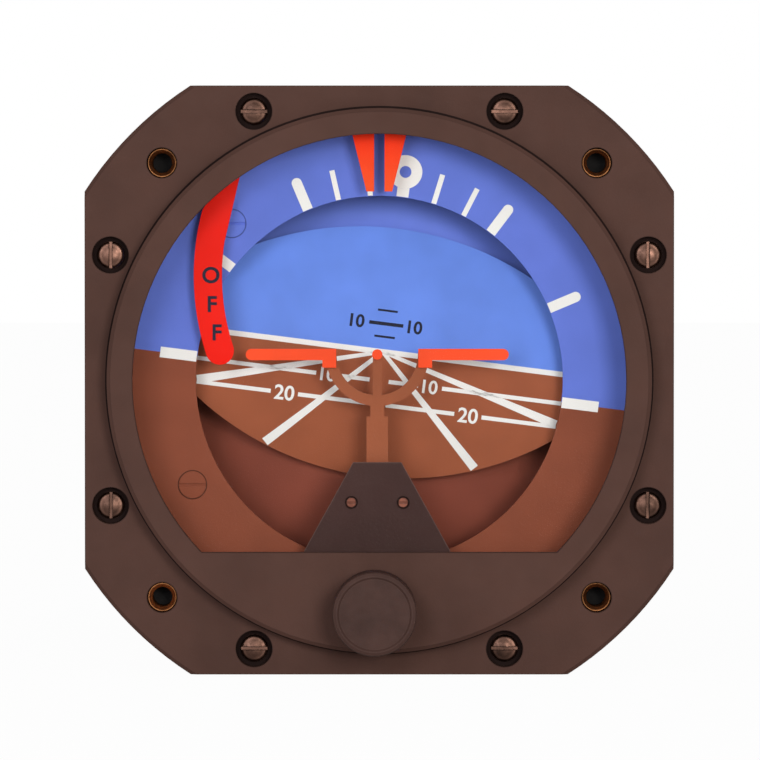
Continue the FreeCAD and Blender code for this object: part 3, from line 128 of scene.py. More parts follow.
class Shader:
    """A Principled material whose colour, roughness and bump come from nodes in the object's own space."""

    def __init__(self, name, roughness, metallic=0.0, specular=0.5):
        self.material = bpy.data.materials.new(name)
        self.material.use_nodes = True
        self.tree = self.material.node_tree
        self.surface = self.tree.nodes["Principled BSDF"]
        self.surface.inputs["Roughness"].default_value = roughness
        self.surface.inputs["Metallic"].default_value = metallic
        self.surface.inputs["Specular IOR Level"].default_value = specular
        self.place = self.tree.nodes.new("ShaderNodeTexCoord").outputs["Object"]

    def node(self, kind, **inputs):
        node = self.tree.nodes.new(kind)
        for name, value in inputs.items():
            self.feed(value, node.inputs[name.replace("_", " ")])
        return node

    def feed(self, value, socket):
        if isinstance(value, bpy.types.NodeSocket):
            self.tree.links.new(value, socket)
        else:
            socket.default_value = value

    def noise(self, size, detail=3.0, stretch=EVEN):
        """Cloudy noise from 0 to 1 whose blotches are about that many metres across."""
        spread = self.node("ShaderNodeMapping", Vector=self.place)
        spread.inputs["Scale"].default_value = stretch
        noise = self.node("ShaderNodeTexNoise", Vector=spread.outputs[0], Scale=1 / size, Detail=detail)
        return noise.outputs["Fac"]

    def ramp(self, value, low, high, start=0.0, end=1.0):
        """value from start to end, carried to low to high."""
        ramp = self.node("ShaderNodeMapRange", Value=value)
        for name, number in (("From Min", start), ("From Max", end), ("To Min", low), ("To Max", high)):
            ramp.inputs[name].default_value = number
        return ramp.outputs["Result"]

    def mix(self, factor, first, second):
        mix = self.tree.nodes.new("ShaderNodeMix")
        mix.data_type = "RGBA"
        self.feed(factor, mix.inputs[0])
        self.feed(first, mix.inputs[6])
        self.feed(second, mix.inputs[7])
        return mix.outputs[2]

    def colour(self, value):
        self.feed(value, self.surface.inputs["Base Color"])

    def roughness(self, value):
        self.feed(value, self.surface.inputs["Roughness"])

    def bump(self, height, depth):
        bump = self.node("ShaderNodeBump", Height=height)
        bump.inputs["Strength"].default_value = 1.0
        bump.inputs["Distance"].default_value = depth
        self.tree.links.new(bump.outputs[0], self.surface.inputs["Normal"])

    def mottled(self, colour, size, share):
        """colour with soft darker and lighter blotches."""
        value = self.ramp(self.noise(size), 0, 1, *CLOUD)
        return self.mix(value, linear(darker(colour, share)), linear(darker(colour, -share)))

    def painted_edge_light(self, colour, edge, reach=0.3 * MM):
        """colour, turning to edge within that reach of a sharp corner: painted light and shade, a highlight
        where edge is lighter and shade where it is darker.
        """
        rounded = self.node("ShaderNodeBevel", Radius=reach)
        rounded.samples = 6
        true_face = self.node("ShaderNodeNewGeometry").outputs["True Normal"]
        turn = self.node("ShaderNodeVectorMath")
        turn.operation = "DOT_PRODUCT"
        self.feed(rounded.outputs["Normal"], turn.inputs[0])
        self.feed(true_face, turn.inputs[1])
        return self.mix(self.ramp(turn.outputs["Value"], 1, 0, 0.8, 0.985), colour, linear(edge))


def paint(name, colour, roughness=0.5, grain=0.02 * MM, grain_size=0.5 * MM, mottle=0.05, edge=None):
    """Stoved enamel: soft blotches, a fine orange-peel grain, and, given an edge colour, a painted highlight at
    its corners where that colour is lighter and painted shade where it is darker.
    """
    shader = Shader(name, roughness, specular=0.06)
    body = shader.mottled(colour, 9 * MM, mottle)
    if edge:
        body = shader.painted_edge_light(body, edge)
    shader.colour(body)
    shader.roughness(shader.ramp(shader.noise(3 * MM), roughness - 0.06, roughness + 0.08, *CLOUD))
    shader.bump(shader.noise(grain_size), grain)
    return shader.material


def metal(name, colour, roughness=0.3, stretch=(1, 12, 1), depth=0.01 * MM, stain=0.12, edge=None):
    """Machined metal: fine tool marks along one way, with a faint stain, and perhaps darker paint at its sharp
    corners and in its slots, standing for shade.
    """
    shader = Shader(name, roughness, metallic=1.0)
    body = shader.mottled(colour, 4 * MM, stain)
    if edge:
        body = shader.painted_edge_light(body, edge, 0.2 * MM)
    shader.colour(body)
    marks = shader.noise(0.6 * MM, 4.0, stretch)
    shader.roughness(shader.ramp(marks, roughness - 0.08, roughness + 0.12, *CLOUD))
    shader.bump(marks, depth)
    return shader.material


def moulded(name, colour, roughness=0.45, depth=0.015 * MM, edge=None):
    """Moulded plastic or rubber with a fine sparked texture."""
    shader = Shader(name, roughness, specular=0.1)
    body = shader.mottled(colour, 3 * MM, 0.08)
    # an edge colour paints the corners; the knob's lighter one is a painted highlight
    if edge:
        body = shader.painted_edge_light(body, edge)
    shader.colour(body)
    shader.roughness(shader.ramp(shader.noise(1 * MM), roughness - 0.05, roughness + 0.1, *CLOUD))
    shader.bump(shader.noise(0.25 * MM), depth)
    return shader.material


def two_tone(name, above, below, height, roughness=0.62):
    """Matt dial paint, one colour above the dial's own horizon and another below it.

    height is how far over the dial's centre the two meet; the paint was sprayed with the dial level.
    """
    shader = Shader(name, roughness, specular=0.1)
    up = shader.node("ShaderNodeVectorMath", Vector=shader.place)
    up.operation = "DOT_PRODUCT"
    up.inputs[1].default_value = (math.sin(ROLL_REST), 0, math.cos(ROLL_REST))
    edge = 0.04 * MM
    side = shader.ramp(up.outputs["Value"], 0, 1, height - edge, height + edge)
    shader.colour(shader.mix(side, shader.mottled(below, 7 * MM, 0.04), shader.mottled(above, 7 * MM, 0.03)))
    shader.bump(shader.noise(0.3 * MM), 0.012 * MM)
    return shader.material


def index_paint(name, root, tip):
    """Fluorescent paint with painted light and shade: redder towards the rim and more orange towards the tips.
    """
    shader = Shader(name, 0.5, specular=0.06)
    height = shader.node("ShaderNodeSeparateXYZ", Vector=shader.place).outputs["Z"]
    share = shader.ramp(height, 0, 1, 28 * MM, 36 * MM)
    shader.colour(shader.mix(share, shader.mottled(tip, 3 * MM, 0.02), shader.mottled(root, 3 * MM, 0.02)))
    shader.bump(shader.noise(0.4 * MM), 0.01 * MM)
    return shader.material


def clear_glass(name):
    """Flat instrument glass with an anti-reflection film: nearly all of the light goes through."""
    shader = Shader(name, 0.04, specular=0.5)
    shader.colour(shader.mottled((26, 27, 30), 12 * MM, 0.02))
    shader.roughness(shader.ramp(shader.noise(5 * MM), 0.03, 0.09, *CLOUD))
    shader.surface.inputs["Alpha"].default_value = 0.012
    return shader.material


def windings(name):
    """Enamelled copper wire, turn beside turn."""
    shader = Shader(name, 0.35, metallic=0.8)
    wave = shader.node("ShaderNodeTexWave", Vector=shader.place, Scale=1 / (1.6 * MM), Distortion=0.4)
    wave.bands_direction = "Z"
    turns = wave.outputs["Fac"]
    shader.colour(shader.mix(turns, linear((112, 48, 22)), linear((196, 112, 62))))
    shader.bump(turns, 0.05 * MM)
    return shader.material


def board(name):
    """Glass-epoxy board: green resist over a faint weave."""
    shader = Shader(name, 0.4)
    weave = shader.node("ShaderNodeTexWave", Vector=shader.place, Scale=1 / (2.2 * MM), Distortion=0.2)
    shader.colour(shader.mix(weave.outputs["Fac"], linear((24, 78, 48)), linear((34, 98, 60))))
    shader.bump(weave.outputs["Fac"], 0.01 * MM)
    return shader.material


def instrument_materials():
    """One material for each of the record's slots."""
    return {
        # the bezel's darker edge colour is painted shade along the flange's rims and corners
        "bezel_paint": paint("bezel_paint", (84, 59, 52), 0.6, edge=(52, 36, 32)),
        # the case's edge colour makes its corners lighter
        "case_paint": paint("case_paint", (66, 60, 58), 0.55, 0.05 * MM, 0.9 * MM, edge=(96, 90, 86)),
        "window_glass": clear_glass("window_glass"),
        "black_rubber": moulded("black_rubber", (34, 32, 32), 0.7),
        "black_anodised": paint("black_anodised", (38, 36, 38), 0.42, 0.008 * MM, 0.3 * MM),
        # the near-black edge colour is painted shade in the screw slots and round the heads
        "blackened_steel": metal(
            "blackened_steel", (98, 72, 62), 0.38, EVEN, 0.02 * MM, stain=0.25, edge=(26, 19, 17)
        ),
        "steel": metal("steel", (176, 174, 170), 0.32),
        "brass": metal("brass", (190, 140, 84), 0.36),
        "copper": metal("copper", (178, 112, 88), 0.38, EVEN),
        # the index's red-to-orange run up the prongs is painted light and shade
        "index_orange": index_paint("index_orange", (255, 46, 14), (255, 88, 44)),
        "flag_red": paint("flag_red", (246, 34, 22), 0.5, mottle=0.02),
        "aeroplane_orange": paint("aeroplane_orange", (255, 84, 46), 0.5, mottle=0.03),
        "bracket_brown": paint("bracket_brown", (158, 90, 62), 0.55, mottle=0.04),
        # the lighter edge colour is a painted highlight along the shield's bevelled edges
        "shield_black": paint("shield_black", (70, 49, 46), 0.55, mottle=0.06, edge=(116, 92, 86)),
        # the lighter edge colour is a painted highlight round the knob's rim
        "knob_plastic": moulded("knob_plastic", (72, 51, 46), 0.55, edge=(92, 70, 63)),
        "bare_aluminium": metal("bare_aluminium", (190, 190, 188), 0.38),
        "dial_paint": two_tone("dial_paint", DIAL_BLUE, DIAL_BROWN, 0),
        "sky_paint": two_tone("sky_paint", SKY_BLUE, SKY_BROWN, 0),
        "horizon_paint": two_tone("horizon_paint", DISC_BLUE, DISC_BROWN, horizon_height()),
        "white_mark": paint("white_mark", WHITE, 0.6, 0.005 * MM, 0.3 * MM, 0.02),
        "black_mark": paint("black_mark", (44, 46, 62), 0.6, 0.005 * MM, 0.3 * MM, 0.04),
        "counterweight_brass": metal("counterweight_brass", (176, 138, 80), 0.34),
        "gyro_paint": paint("gyro_paint", (150, 152, 150), 0.45),
        "winding": windings("winding"),
        "board_green": board("board_green"),
        "component_black": moulded("component_black", (40, 40, 42), 0.4),
        "phenolic": moulded("phenolic", (104, 66, 40), 0.5),
        "gold": metal("gold", (214, 170, 84), 0.24),
        # insert_brass is brass painted darker, with darker corners, standing for the shade the recessed inserts
        # sit in
        "insert_brass": metal("insert_brass", (138, 92, 58), 0.4, stain=0.25, edge=(66, 42, 26)),
        # seam is near-black paint for dark rings of painted shade: on the counterbores' floors, round the
        # shield's small screws and at the raised ring's foot
        "seam": paint("seam", (38, 26, 24), 0.8, mottle=0.1),
        # dial_seam is the dial's two colours darkened, for the dark rim of painted shade round each dial screw
        # head
        "dial_seam": two_tone("dial_seam", darker(DIAL_BLUE, 0.3), darker(DIAL_BROWN, 0.4), 0),
        # the darker edge colour paints shade at the small screws' corners
        "dark_copper": metal("dark_copper", (112, 70, 58), 0.45, EVEN, edge=(50, 32, 28)),
    }


# ------------------------------------------------------------------------------------ flat printed pieces


def rolled(u, v, depth):
    """A point of the dial, u to its right and v towards its top, in the row frame at rest."""
    across = u * math.cos(ROLL_REST) + v * math.sin(ROLL_REST)
    height = v * math.cos(ROLL_REST) - u * math.sin(ROLL_REST)
    return Vector((across, depth, height))


def dial_point(u, v):
    """On the front face of the roll dial."""
    return rolled(u, v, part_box("roll_dial")[0].y - PRINT)


def disc_radius():
    """From the arms' axis to the front of the horizon disc."""
    return ARM_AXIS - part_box("horizon_disc")[0].y


def disc_point(u, v):
    """On the front of the horizon disc, v measured round it from its painted horizon."""
    radius = disc_radius() + PRINT
    angle = v / disc_radius() + HORIZON_REST
    return rolled(u, radius * math.sin(angle), ARM_AXIS - radius * math.cos(angle))


def horizon_height():
    """How far the painted horizon stands over the dial's centre at rest."""
    return disc_radius() * math.sin(HORIZON_REST)


def linked(name, data):
    """A new object in the scene holding that mesh, curve or light."""
    holder = bpy.data.objects.new(name, data)
    bpy.context.scene.collection.objects.link(holder)
    return holder


def curve_mesh(curve):
    """The shape of a curve or of lettering as a mesh."""
    source = linked(curve.name + "_source", curve)
    bpy.context.view_layer.update()
    data = bpy.data.meshes.new_from_object(source)
    bpy.data.objects.remove(source)
    mesh = bmesh.new()
    mesh.from_mesh(data)
    bpy.data.meshes.remove(data)
    return mesh


def laid(mesh, place):
    """Every point carried by place, and the faces turned towards the pilot."""
    for vertex in mesh.verts:
        vertex.co = place(vertex.co.x, vertex.co.y)
    mesh.normal_update()
    if sum(face.normal.y * face.calc_area() for face in mesh.faces) > 0:
        bmesh.ops.reverse_faces(mesh, faces=mesh.faces)
    return mesh


def printed(name, loops, place, material, body, step=0.6 * MM):
    """Thin printed shapes from closed loops of (u, v), cut fine enough to follow a curved face, with place to
    carry each point on to that face."""
    mesh = bmesh.new()
    for loop in loops:
        mesh.faces.new([mesh.verts.new((u, v, 0)) for u, v in loop])
    bmesh.ops.triangulate(mesh, faces=mesh.faces)
    long_edges = [edge for edge in mesh.edges if edge.calc_length() > step]
    while long_edges:
        bmesh.ops.subdivide_edges(mesh, edges=long_edges, cuts=1)
        bmesh.ops.triangulate(mesh, faces=mesh.faces)
        long_edges = [edge for edge in mesh.edges if edge.calc_length() > 2 * step]
    return add_piece(name, laid(mesh, place), material, body)


def as_data(name, mesh):
    """The working mesh as mesh data."""
    data = bpy.data.meshes.new(name)
    mesh.to_mesh(data)
    mesh.free()
    return data


def add_piece(name, mesh, material, body):
    """A dressed piece on a body, with the record's slot that it belongs to."""
    piece = linked(name, as_data(name, mesh))
    piece.data.materials.append(material)
    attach(piece, body)
    return piece


def turned(points, angle):
    """Points turned clockwise, as seen from the front, about the centre."""
    cosine, sine = math.cos(angle), math.sin(angle)
    return [(u * cosine + v * sine, v * cosine - u * sine) for u, v in points]


def bar(start, end, width, end_width=None):
    """A straight stripe between two points, perhaps widening towards its end."""
    direction = (Vector(end) - Vector(start)).normalized()
    side = Vector((-direction.y, direction.x))
    near, far = side * width / 2, side * (end_width or width) / 2
    corners = [Vector(start) + near, Vector(end) + far, Vector(end) - far, Vector(start) - near]
    return [tuple(corner) for corner in corners]


def arc(centre, radius, start, end, steps=24):
    """Points round a centre, from one angle to another in degrees."""
    angles = [math.radians(start + (end - start) * k / steps) for k in range(steps + 1)]
    return [(centre[0] + radius * math.cos(a), centre[1] + radius * math.sin(a)) for a in angles]


def capsule(inner, outer, width, steps=10):
    """A stripe up the dial from one radius to another, with a round outer end."""
    half = width / 2
    return [(half, inner)] + arc((0, outer - half), half, 0, 180, steps) + [(-half, inner)]


def ring_halves(centre, outer, hole, steps=16):
    """A ring as two C-shaped loops, so that its hole stays open."""
    halves = []
    for start in (0, 180):
        rim = arc((0, centre), outer, start, start + 180, steps)
        eye = arc((0, centre), hole, start + 180, start, steps)
        halves.append(rim + eye)
    return halves


def lettering(name, words, size, place, material, body, centre=(0, 0), bold=0.0):
    """Printed letters or figures of that height, centred, in the plain built-in face."""
    capital_share = 0.7  # how much of the face's size a capital letter stands
    curve = bpy.data.curves.new(name, "FONT")
    curve.body = words
    curve.size = size / capital_share
    curve.offset = bold
    curve.align_x = "CENTER"
    curve.align_y = "CENTER"
    curve.resolution_u = 6
    mesh = curve_mesh(curve)
    middle = [(min(v.co[i] for v in mesh.verts) + max(v.co[i] for v in mesh.verts)) / 2 for i in (0, 1)]
    bmesh.ops.triangulate(mesh, faces=mesh.faces)

    def centred(u, v):
        return place(u - middle[0] + centre[0], v - middle[1] + centre[1])

    return add_piece(name, laid(mesh, centred), material, body)


# -------------------------------------------------------------------------------------------- the pieces

materials = instrument_materials()


def dress_nodes():
    """Every CAD node takes the material of its slot."""
    slots = {part["node"]: part["material_slot"] for part in frame["record"]["subparts"]}
    own = {"shield_screws": "dark_copper"}
    for name, node in frame["nodes"].items():
        node.data.materials.clear()
        node.data.materials.append(materials[own.get(name, slots[name])])


def bank_scale():
    """White marks on the roll dial at 10, 20, 30, 60 and 90 degrees, and a ring on a stem at the top."""
    thin = bar((0, DIAL_HOLE), (0, 31.15 * MM), 0.75 * MM)
    thick = capsule(DIAL_HOLE, 31.7 * MM, 1.5 * MM)
    level = bar((0, DIAL_HOLE), (0, 32.1 * MM), 1.55 * MM)
    loops = []
    for mark, angles in ((thin, (-20, -10, 10, 20)), (thick, (-60, -30, 30, 60)), (level, (-90, 90))):
        loops += [turned(mark, math.radians(angle)) for angle in angles]
    centre, outer, hole, stem = 30.4 * MM, 2.45 * MM, 0.86 * MM, 0.875 * MM
    loops += ring_halves(centre, outer, hole)
    lean = math.degrees(math.asin(stem / outer))
    loops.append([(-stem, DIAL_HOLE), (stem, DIAL_HOLE)] + arc((0, centre), outer, lean - 90, -lean - 90, 8))
    printed("bank_scale", loops, dial_point, materials["white_mark"], "roll_gimbal")


def ground_marks():
    """White lines of the horizon disc: the horizon, the ground's perspective and the dive marks."""
    reach, inset, start, line = 26.9 * MM, 26.4 * MM, 1.4 * MM, 0.6 * MM
    shallow, steep, steep_length = math.radians(15.6), math.radians(44.7), 21.7 * MM
    loops = [bar((-reach, 0), (reach, 0), 0.78 * MM)]
    for side in (-1, 1):
        # each dive mark is a line with a gap at its figure
        for depth, figure, gap, end in (
            (4.25 * MM, 7.5 * MM, 1.75 * MM, reach),
            (7.7 * MM, 13.5 * MM, 2 * MM, inset),
        ):
            loops.append(bar((side * start, -depth), (side * (figure - gap), -depth), line))
            loops.append(bar((side * (figure + gap), -depth), (side * end, -depth), line))
        # two lines run from the middle of the horizon and widen as they come nearer
        far = (side * inset, -inset * math.tan(shallow))
        loops.append(bar((0, 0), far, 0.5 * MM, 1.25 * MM))
        far = (side * steep_length * math.cos(steep), -steep_length * math.sin(steep))
        loops.append(bar((0, 0), far, 0.55 * MM, 1.3 * MM))
    printed("ground_marks", loops, disc_point, materials["white_mark"], "horizon")


def climb_marks():
    """Dark lines of the horizon disc, above the horizon."""
    loops = []
    for height, half, width in ((2.2, 1.5, 0.3), (4.1, 2.5, 0.5), (6.05, 1.45, 0.3)):
        loops.append(bar((-half * MM, height * MM), (half * MM, height * MM), width * MM))
    printed("climb_marks", loops, disc_point, materials["black_mark"], "horizon")


def pitch_figures():
    """The figures 10 and 20 beside the climb and dive marks, on both sides."""
    for side, label in ((-1, "left"), (1, "right")):
        for words, across, height, size, ink in (
            ("10", 4.25, 4.1, 1.8, "black_mark"),
            ("10", 7.5, -4.25, 1.9, "white_mark"),
            ("20", 13.5, -7.7, 2.1, "white_mark"),
        ):
            name = f"figure_{words}_{label}_{'up' if height > 0 else 'down'}"
            centre = (side * across * MM, height * MM)
            lettering(name, words, size * MM, disc_point, materials[ink], "horizon", centre, 0.06 * MM)


def flag_letters():
    """The flag says OFF, one letter under another, along its lower half."""
    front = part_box("warning_flag")[0].y - PRINT
    height, bold = 2.25 * MM, 0.07 * MM
    ink = materials["black_mark"]

    def place(u, v):
        return Vector((u, front, v))

    for letter, x, z in (("O", -24.4, 15.2), ("F", -24.2, 11.0), ("F", -23.5, 6.9)):
        name = f"flag_letter_{letter}_{round(z)}"
        lettering(name, letter, height, place, ink, "flag", (x * MM, z * MM), bold)


def smooth_shading(mesh, sharp=math.radians(32)):
    """Smooth faces, with the corners sharper than that angle left crisp."""
    for face in mesh.faces:
        face.smooth = True
    for edge in mesh.edges:
        edge.smooth = len(edge.link_faces) == 2 and edge.calc_face_angle(0) < sharp


def lathed(profile, centre, steps=64):
    """A solid turned about an axis along Y.

    profile is (radius, depth) points, closed on itself or on the axis.
    """
    mesh = bmesh.new()
    rings = []
    for radius, depth in profile:
        if radius == 0:
            rings.append([mesh.verts.new((centre[0], depth, centre[1]))] * steps)
            continue
        turns = [2 * math.pi * k / steps for k in range(steps)]
        places = [(centre[0] + radius * math.cos(a), depth, centre[1] + radius * math.sin(a)) for a in turns]
        rings.append([mesh.verts.new(place) for place in places])
    closed = profile[0][0] > 0
    for near, far in zip(rings, rings[1:] + rings[:1] if closed else rings[1:]):
        for k in range(steps):
            corners = [near[k], near[(k + 1) % steps], far[(k + 1) % steps], far[k]]
            mesh.faces.new(list(dict.fromkeys(corners)))
    bmesh.ops.recalc_face_normals(mesh, faces=mesh.faces)
    return mesh


def joined(meshes):
    """Several meshes as one."""
    whole = bmesh.new()
    for mesh in meshes:
        part = as_data("part", mesh)
        whole.from_mesh(part)
        bpy.data.meshes.remove(part)
    return whole


def slotted(mesh, centre, angle, reach, width, front, depth):
    """The turned head with a screwdriver slot cut across it."""
    blade = bmesh.new()
    bmesh.ops.create_cube(blade, size=1)
    bmesh.ops.scale(blade, verts=blade.verts, vec=(2 * reach, 2 * depth, width))
    bmesh.ops.rotate(blade, verts=blade.verts, cent=(0, 0, 0), matrix=Matrix.Rotation(angle, 3, "Y"))
    bmesh.ops.translate(blade, verts=blade.verts, vec=(centre[0], front, centre[1]))
    holders = [linked(name, as_data(name, source)) for name, source in (("head", mesh), ("blade", blade))]
    cut = holders[0].modifiers.new("slot", "BOOLEAN")
    cut.object = holders[1]
    cut.solver = "EXACT"
    result = bmesh.new()
    result.from_object(holders[0], bpy.context.evaluated_depsgraph_get())
    for holder in holders:
        data = holder.data
        bpy.data.objects.remove(holder)
        bpy.data.meshes.remove(data)
    return result


def plate(name, loops, front, thick, material, body, ease=0.06 * MM):
    """A flat plate facing the pilot from outlines in X and Z, with eased edges."""
    curve = bpy.data.curves.new(name, "CURVE")
    curve.dimensions = "2D"
    curve.fill_mode = "BOTH"
    curve.extrude = thick / 2 - ease
    curve.bevel_depth = ease
    curve.bevel_resolution = 2
    curve.offset = -ease
    for loop in loops:
        spline = curve.splines.new("POLY")
        spline.points.add(len(loop) - 1)
        for point, (x, z) in zip(spline.points, loop):
            point.co = (x, z, 0, 1)
        spline.use_cyclic_u = True
    mesh = curve_mesh(curve)
    for vertex in mesh.verts:
        vertex.co = (vertex.co.x, front + thick / 2 - vertex.co.z, vertex.co.y)
    bmesh.ops.remove_doubles(mesh, verts=mesh.verts, dist=0.001 * MM)
    bmesh.ops.recalc_face_normals(mesh, faces=mesh.faces)
    smooth_shading(mesh)
    return add_piece(name, mesh, material, body)


def dome_front(radius, top, rounding, sag, crown_steps=5, steps=8):
    """Profile over a domed head, from its axis to its side."""
    flat = radius - rounding
    crown = [(flat * k / crown_steps, top + sag * (k / crown_steps) ** 2) for k in range(crown_steps)]
    angles = [math.pi / 2 * k / steps for k in range(steps + 1)]
    shoulder = [(flat + rounding * math.sin(a), top + sag + rounding * (1 - math.cos(a))) for a in angles]
    return crown + shoulder


def bezel_screw_heads():
    """Eight domed slotted screws in the flange's counterbores, each with a dark ring of painted shade on the
    counterbore's floor.
    """
    low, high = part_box("bezel_screws")
    circle, offset, radius, shank = 42.9 * MM, 25, 1.95 * MM, 1.09 * MM
    slot_width, slot_depth = 0.5 * MM, 0.62 * MM
    seat = 2.2 * MM
    heads, shade_rings = [], []
    for quarter in range(4):
        for side in (-1, 1):
            angle = math.radians(90 * quarter + side * offset)
            centre = (circle * math.cos(angle), circle * math.sin(angle))
            profile = dome_front(radius, low.y, 0.5 * MM, 0.25 * MM)
            profile += [(radius, seat), (shank, seat), (shank, high.y), (0, high.y)]
            head = lathed(profile, centre, 48)
            turn = 0 if quarter % 2 else math.pi / 2
            heads.append(slotted(head, centre, turn, radius + 0.3 * MM, slot_width, low.y, slot_depth))
            # a near-black ring on the counterbore's floor round the head: painted shade
            shade_rings.append(line_ring(centre, radius + 0.05 * MM, 2.6 * MM, seat - 0.2 * MM, 48))
    add_piece("screw_well_shade", joined(shade_rings), materials["seam"], "case")
    mesh = joined(heads)
    smooth_shading(mesh)
    steel = "blackened_steel"
    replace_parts(add_piece("bezel_screw_heads", mesh, materials[steel], "case"), "bezel_screws")


def threaded_inserts():
    """Four brass inserts set a little back in the flange, each with a countersunk mouth and a thread."""
    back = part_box("mounting_inserts")[1].y
    half = INSERT_SPACING / 2
    outer, lip, root, crest = 2.18 * MM, 1.9 * MM, 1.78 * MM, 1.42 * MM
    mouth, chamfer, sink, pitch = 1.3 * MM, 0.15 * MM, 0.5 * MM, 0.7 * MM
    depth = mouth + sink
    profile = [(outer, back), (outer, mouth + chamfer), (outer - chamfer, mouth)]
    profile += [(lip, mouth), (crest, depth)]
    while depth + pitch < back:
        profile += [(root, depth + pitch / 2), (crest, depth + pitch)]
        depth += pitch
    profile.append((crest, back))
    mesh = joined([lathed(profile, (x * half, z * half)) for x in (-1, 1) for z in (-1, 1)])
    smooth_shading(mesh)
    piece = add_piece("threaded_inserts", mesh, materials["insert_brass"], "case")
    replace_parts(piece, "mounting_inserts")


def line_ring(centre, inner, outer, face, steps):
    """A thin ring standing a print's thickness off a face."""
    front, back = face - PRINT, face + PRINT
    return lathed([(inner, front), (outer, front), (outer, back), (inner, back)], centre, steps)


def shield_screw_wells():
    """A dark rim of painted shade round each of the centre shield's two small screws."""
    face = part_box("centre_shield")[0].y
    inner, outer, height = 0.7 * MM, 0.95 * MM, -17.7 * MM
    wells = [line_ring((x * MM, height), inner, outer, face, 32) for x in (-4.05, 3.45)]
    add_piece("shield_screw_wells", joined(wells), materials["seam"], "case")


def boss_foot():
    """The fine dark line where the raised ring meets the square flange: painted shade at the ring's foot."""
    mesh = line_ring((0, 0), 39.32 * MM, 39.66 * MM, 0, 180)
    add_piece("boss_foot_line", mesh, materials["seam"], "case")


def sky_dome():
    """The painted dome behind the horizon disc, as one smooth shallow bowl."""
    radius, rim, wall, rings = 68 * MM, 27.5 * MM, 1.0 * MM, 28
    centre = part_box("sky_background")[0].y + radius

    def surface(across, inside):
        return centre - math.sqrt((radius - inside) ** 2 - across ** 2)

    front = [(rim * k / rings, surface(rim * k / rings, 0)) for k in range(rings + 1)]
    back = [(rim * k / rings, surface(rim * k / rings, wall)) for k in range(rings, -1, -1)]
    mesh = lathed(front + back, (0, 0), 96)
    smooth_shading(mesh)
    piece = add_piece("sky_dome", mesh, materials["sky_paint"], "roll_gimbal")
    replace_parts(piece, "sky_background")


def power_flag():
    """The curved warning flag, hung from its pivot behind the bezel's upper left."""
    low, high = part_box("warning_flag")
    centre, inner, width = (10.1 * MM, 15.1 * MM), 32.9 * MM, 4.1 * MM
    pivot, eye, pin = (-17 * MM, 34 * MM), 2 * MM, 0.64 * MM
    tip = 198.1
    tip_centre = arc(centre, inner + width / 2, tip, tip, 1)[0]
    outline = arc(centre, inner + width, 165, tip)
    outline += arc(tip_centre, width / 2, tip, tip + 180, 16)[1:-1]
    outline += arc(centre, inner, tip, 171.5)
    outline.append((-20.15 * MM, 29.7 * MM))
    outline += arc(pivot, eye, -55, 125, 14)
    bore = arc(pivot, pin, 0, 345, 23)
    red = "flag_red"
    flag = plate("power_flag", [outline, bore], low.y, high.y - low.y, materials[red], "flag")
    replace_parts(flag, "warning_flag")


def index_prongs():
    """The fixed bank index: two tapered prongs that leave a gap between them."""
    low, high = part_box("bank_index")
    gap, tip, tip_half, root_half = 0.75 * MM, 27.3 * MM, 1.87 * MM, 4.6 * MM
    inside = [(gap, 36.5 * MM), (gap, tip)]
    outside = [(tip_half, tip), (3.93 * MM, 35.6 * MM), (root_half, 37.2 * MM), (root_half, 38.6 * MM)]
    right = inside + outside
    outline = right + [(-x, z) for x, z in reversed(right)]
    orange = "index_orange"
    prongs = plate("index_prongs", [outline], low.y, high.y - low.y, materials[orange], "case")
    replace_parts(prongs, "bank_index")


def dial_screw_heads():
    """Three painted oval heads that hold the roll dial to its carrier, each with a dark rim of painted shade
    round it.
    """
    low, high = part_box("dial_screws")
    circle, radius, shank, thick, slot = 31.2 * MM, 2.0 * MM, 0.9 * MM, 0.6 * MM, 0.4 * MM
    heads, rims = [], []
    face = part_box("roll_dial")[0].y
    for degrees in (140.6, 216.6, 300):
        angle = math.radians(degrees) - ROLL_REST
        centre = (circle * math.cos(angle), circle * math.sin(angle))
        profile = dome_front(radius, low.y, 0.1 * MM, 0.12 * MM)
        profile += [(radius, low.y + thick), (shank, low.y + thick), (shank, high.y), (0, high.y)]
        head = lathed(profile, centre, 48)
        heads.append(slotted(head, centre, 0, radius + 0.2 * MM, slot, low.y, slot))
        # a darker ring on the dial round the head: painted shade
        rims.append(line_ring(centre, radius, radius + 0.14 * MM, face, 48))
    mesh = joined(heads)
    smooth_shading(mesh)
    piece = add_piece("dial_screw_heads", mesh, materials["dial_paint"], "roll_gimbal")
    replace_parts(piece, "dial_screws")
    add_piece("dial_screw_rims", joined(rims), materials["dial_seam"], "roll_gimbal")


# ------------------------------------------------------------------------------ floor, lights and camera


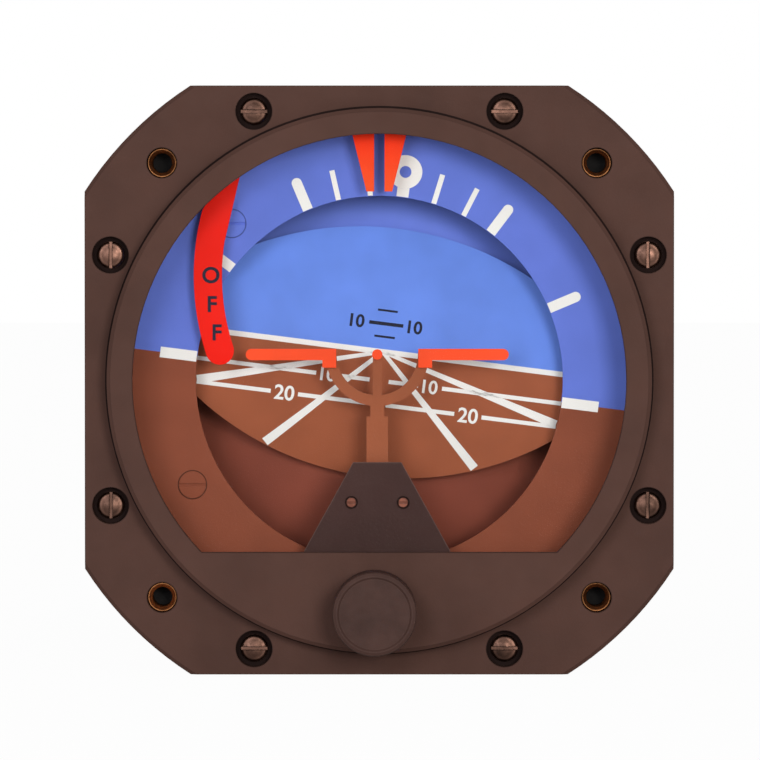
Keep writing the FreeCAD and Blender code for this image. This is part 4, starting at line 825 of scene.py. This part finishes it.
def stage():
    """A pale floor under the instrument, brightened for the camera; what is left keeps the shadow."""
    glow_share = 0.97
    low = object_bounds()[0][2]
    mesh = bmesh.new()
    bmesh.ops.create_grid(mesh, x_segments=1, y_segments=1, size=3)
    bmesh.ops.translate(mesh, verts=mesh.verts, vec=(0, 0, low))
    floor = linked("floor", as_data("floor", mesh))
    shader = Shader("floor", 0.9, specular=0.1)
    shader.colour(shader.mottled((240, 239, 237), 0.4, 0.01))
    tree = shader.tree
    path = tree.nodes.new("ShaderNodeLightPath")
    seen = shader.node("ShaderNodeMath", Value=path.outputs["Is Camera Ray"])
    seen.operation = "MULTIPLY"
    seen.inputs[1].default_value = glow_share
    glow = shader.node("ShaderNodeEmission")
    glow.inputs["Color"].default_value = (1, 1, 1, 1)
    blend = tree.nodes.new("ShaderNodeMixShader")
    tree.links.new(seen.outputs[0], blend.inputs[0])
    tree.links.new(shader.surface.outputs[0], blend.inputs[1])
    tree.links.new(glow.outputs[0], blend.inputs[2])
    tree.links.new(blend.outputs[0], tree.nodes["Material Output"].inputs["Surface"])
    floor.data.materials.append(shader.material)
    floor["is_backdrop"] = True


def world():
    """Soft light from all round, and plain white behind."""
    sky = bpy.data.worlds.new("studio")
    bpy.context.scene.world = sky
    sky.use_nodes = True
    tree = sky.node_tree
    background = tree.nodes["Background"]
    background.inputs["Color"].default_value = (1, 1, 1, 1)
    path = tree.nodes.new("ShaderNodeLightPath")
    seen = tree.nodes.new("ShaderNodeMath")
    seen.operation = "MAXIMUM"
    tree.links.new(path.outputs["Is Camera Ray"], seen.inputs[0])
    tree.links.new(path.outputs["Is Transmission Ray"], seen.inputs[1])
    strength = tree.nodes.new("ShaderNodeMapRange")
    strength.inputs["To Min"].default_value = 0.4
    strength.inputs["To Max"].default_value = 1.0
    tree.links.new(seen.outputs[0], strength.inputs["Value"])
    tree.links.new(strength.outputs["Result"], background.inputs["Strength"])


def lamp(name, place, power, size, colour):
    """A square area lamp aimed at the instrument."""
    light = bpy.data.lights.new(name, "AREA")
    light.energy = power
    light.size = size
    light.color = colour
    holder = linked(name, light)
    holder.location = place
    holder.rotation_euler = (-Vector(place)).to_track_quat("-Z", "Y").to_euler()


def camera():
    """Square on to the face, from far off and a touch above."""
    distance = 0.9
    above = math.radians(1.5)
    picture_width = 0.1099  # what the picture spans at the instrument's face
    shift_right, shift_up = 0.1 * MM, 0.05 * MM
    data = bpy.data.cameras.new("camera")
    data.sensor_width = 36
    data.lens = data.sensor_width * distance / picture_width
    data.clip_end = 20
    holder = linked("camera", data)
    holder.location = (shift_right, -distance * math.cos(above), distance * math.sin(above) + shift_up)
    holder.rotation_euler = (math.pi / 2 - above, 0, 0)
    bpy.context.scene.camera = holder


dress_nodes()
bank_scale()
ground_marks()
climb_marks()
pitch_figures()
flag_letters()
bezel_screw_heads()
threaded_inserts()
boss_foot()
shield_screw_wells()
sky_dome()
power_flag()
index_prongs()
dial_screw_heads()
stage()
world()
lamp("left_lamp", (-0.3, -0.9, 0.18), 2.5, 0.36, (0.97, 0.98, 1.0))
lamp("right_lamp", (0.27, -0.92, 0.13), 3.5, 0.26, (1.0, 0.98, 0.93))
camera()
bpy.context.scene.view_settings.view_transform = "Standard"
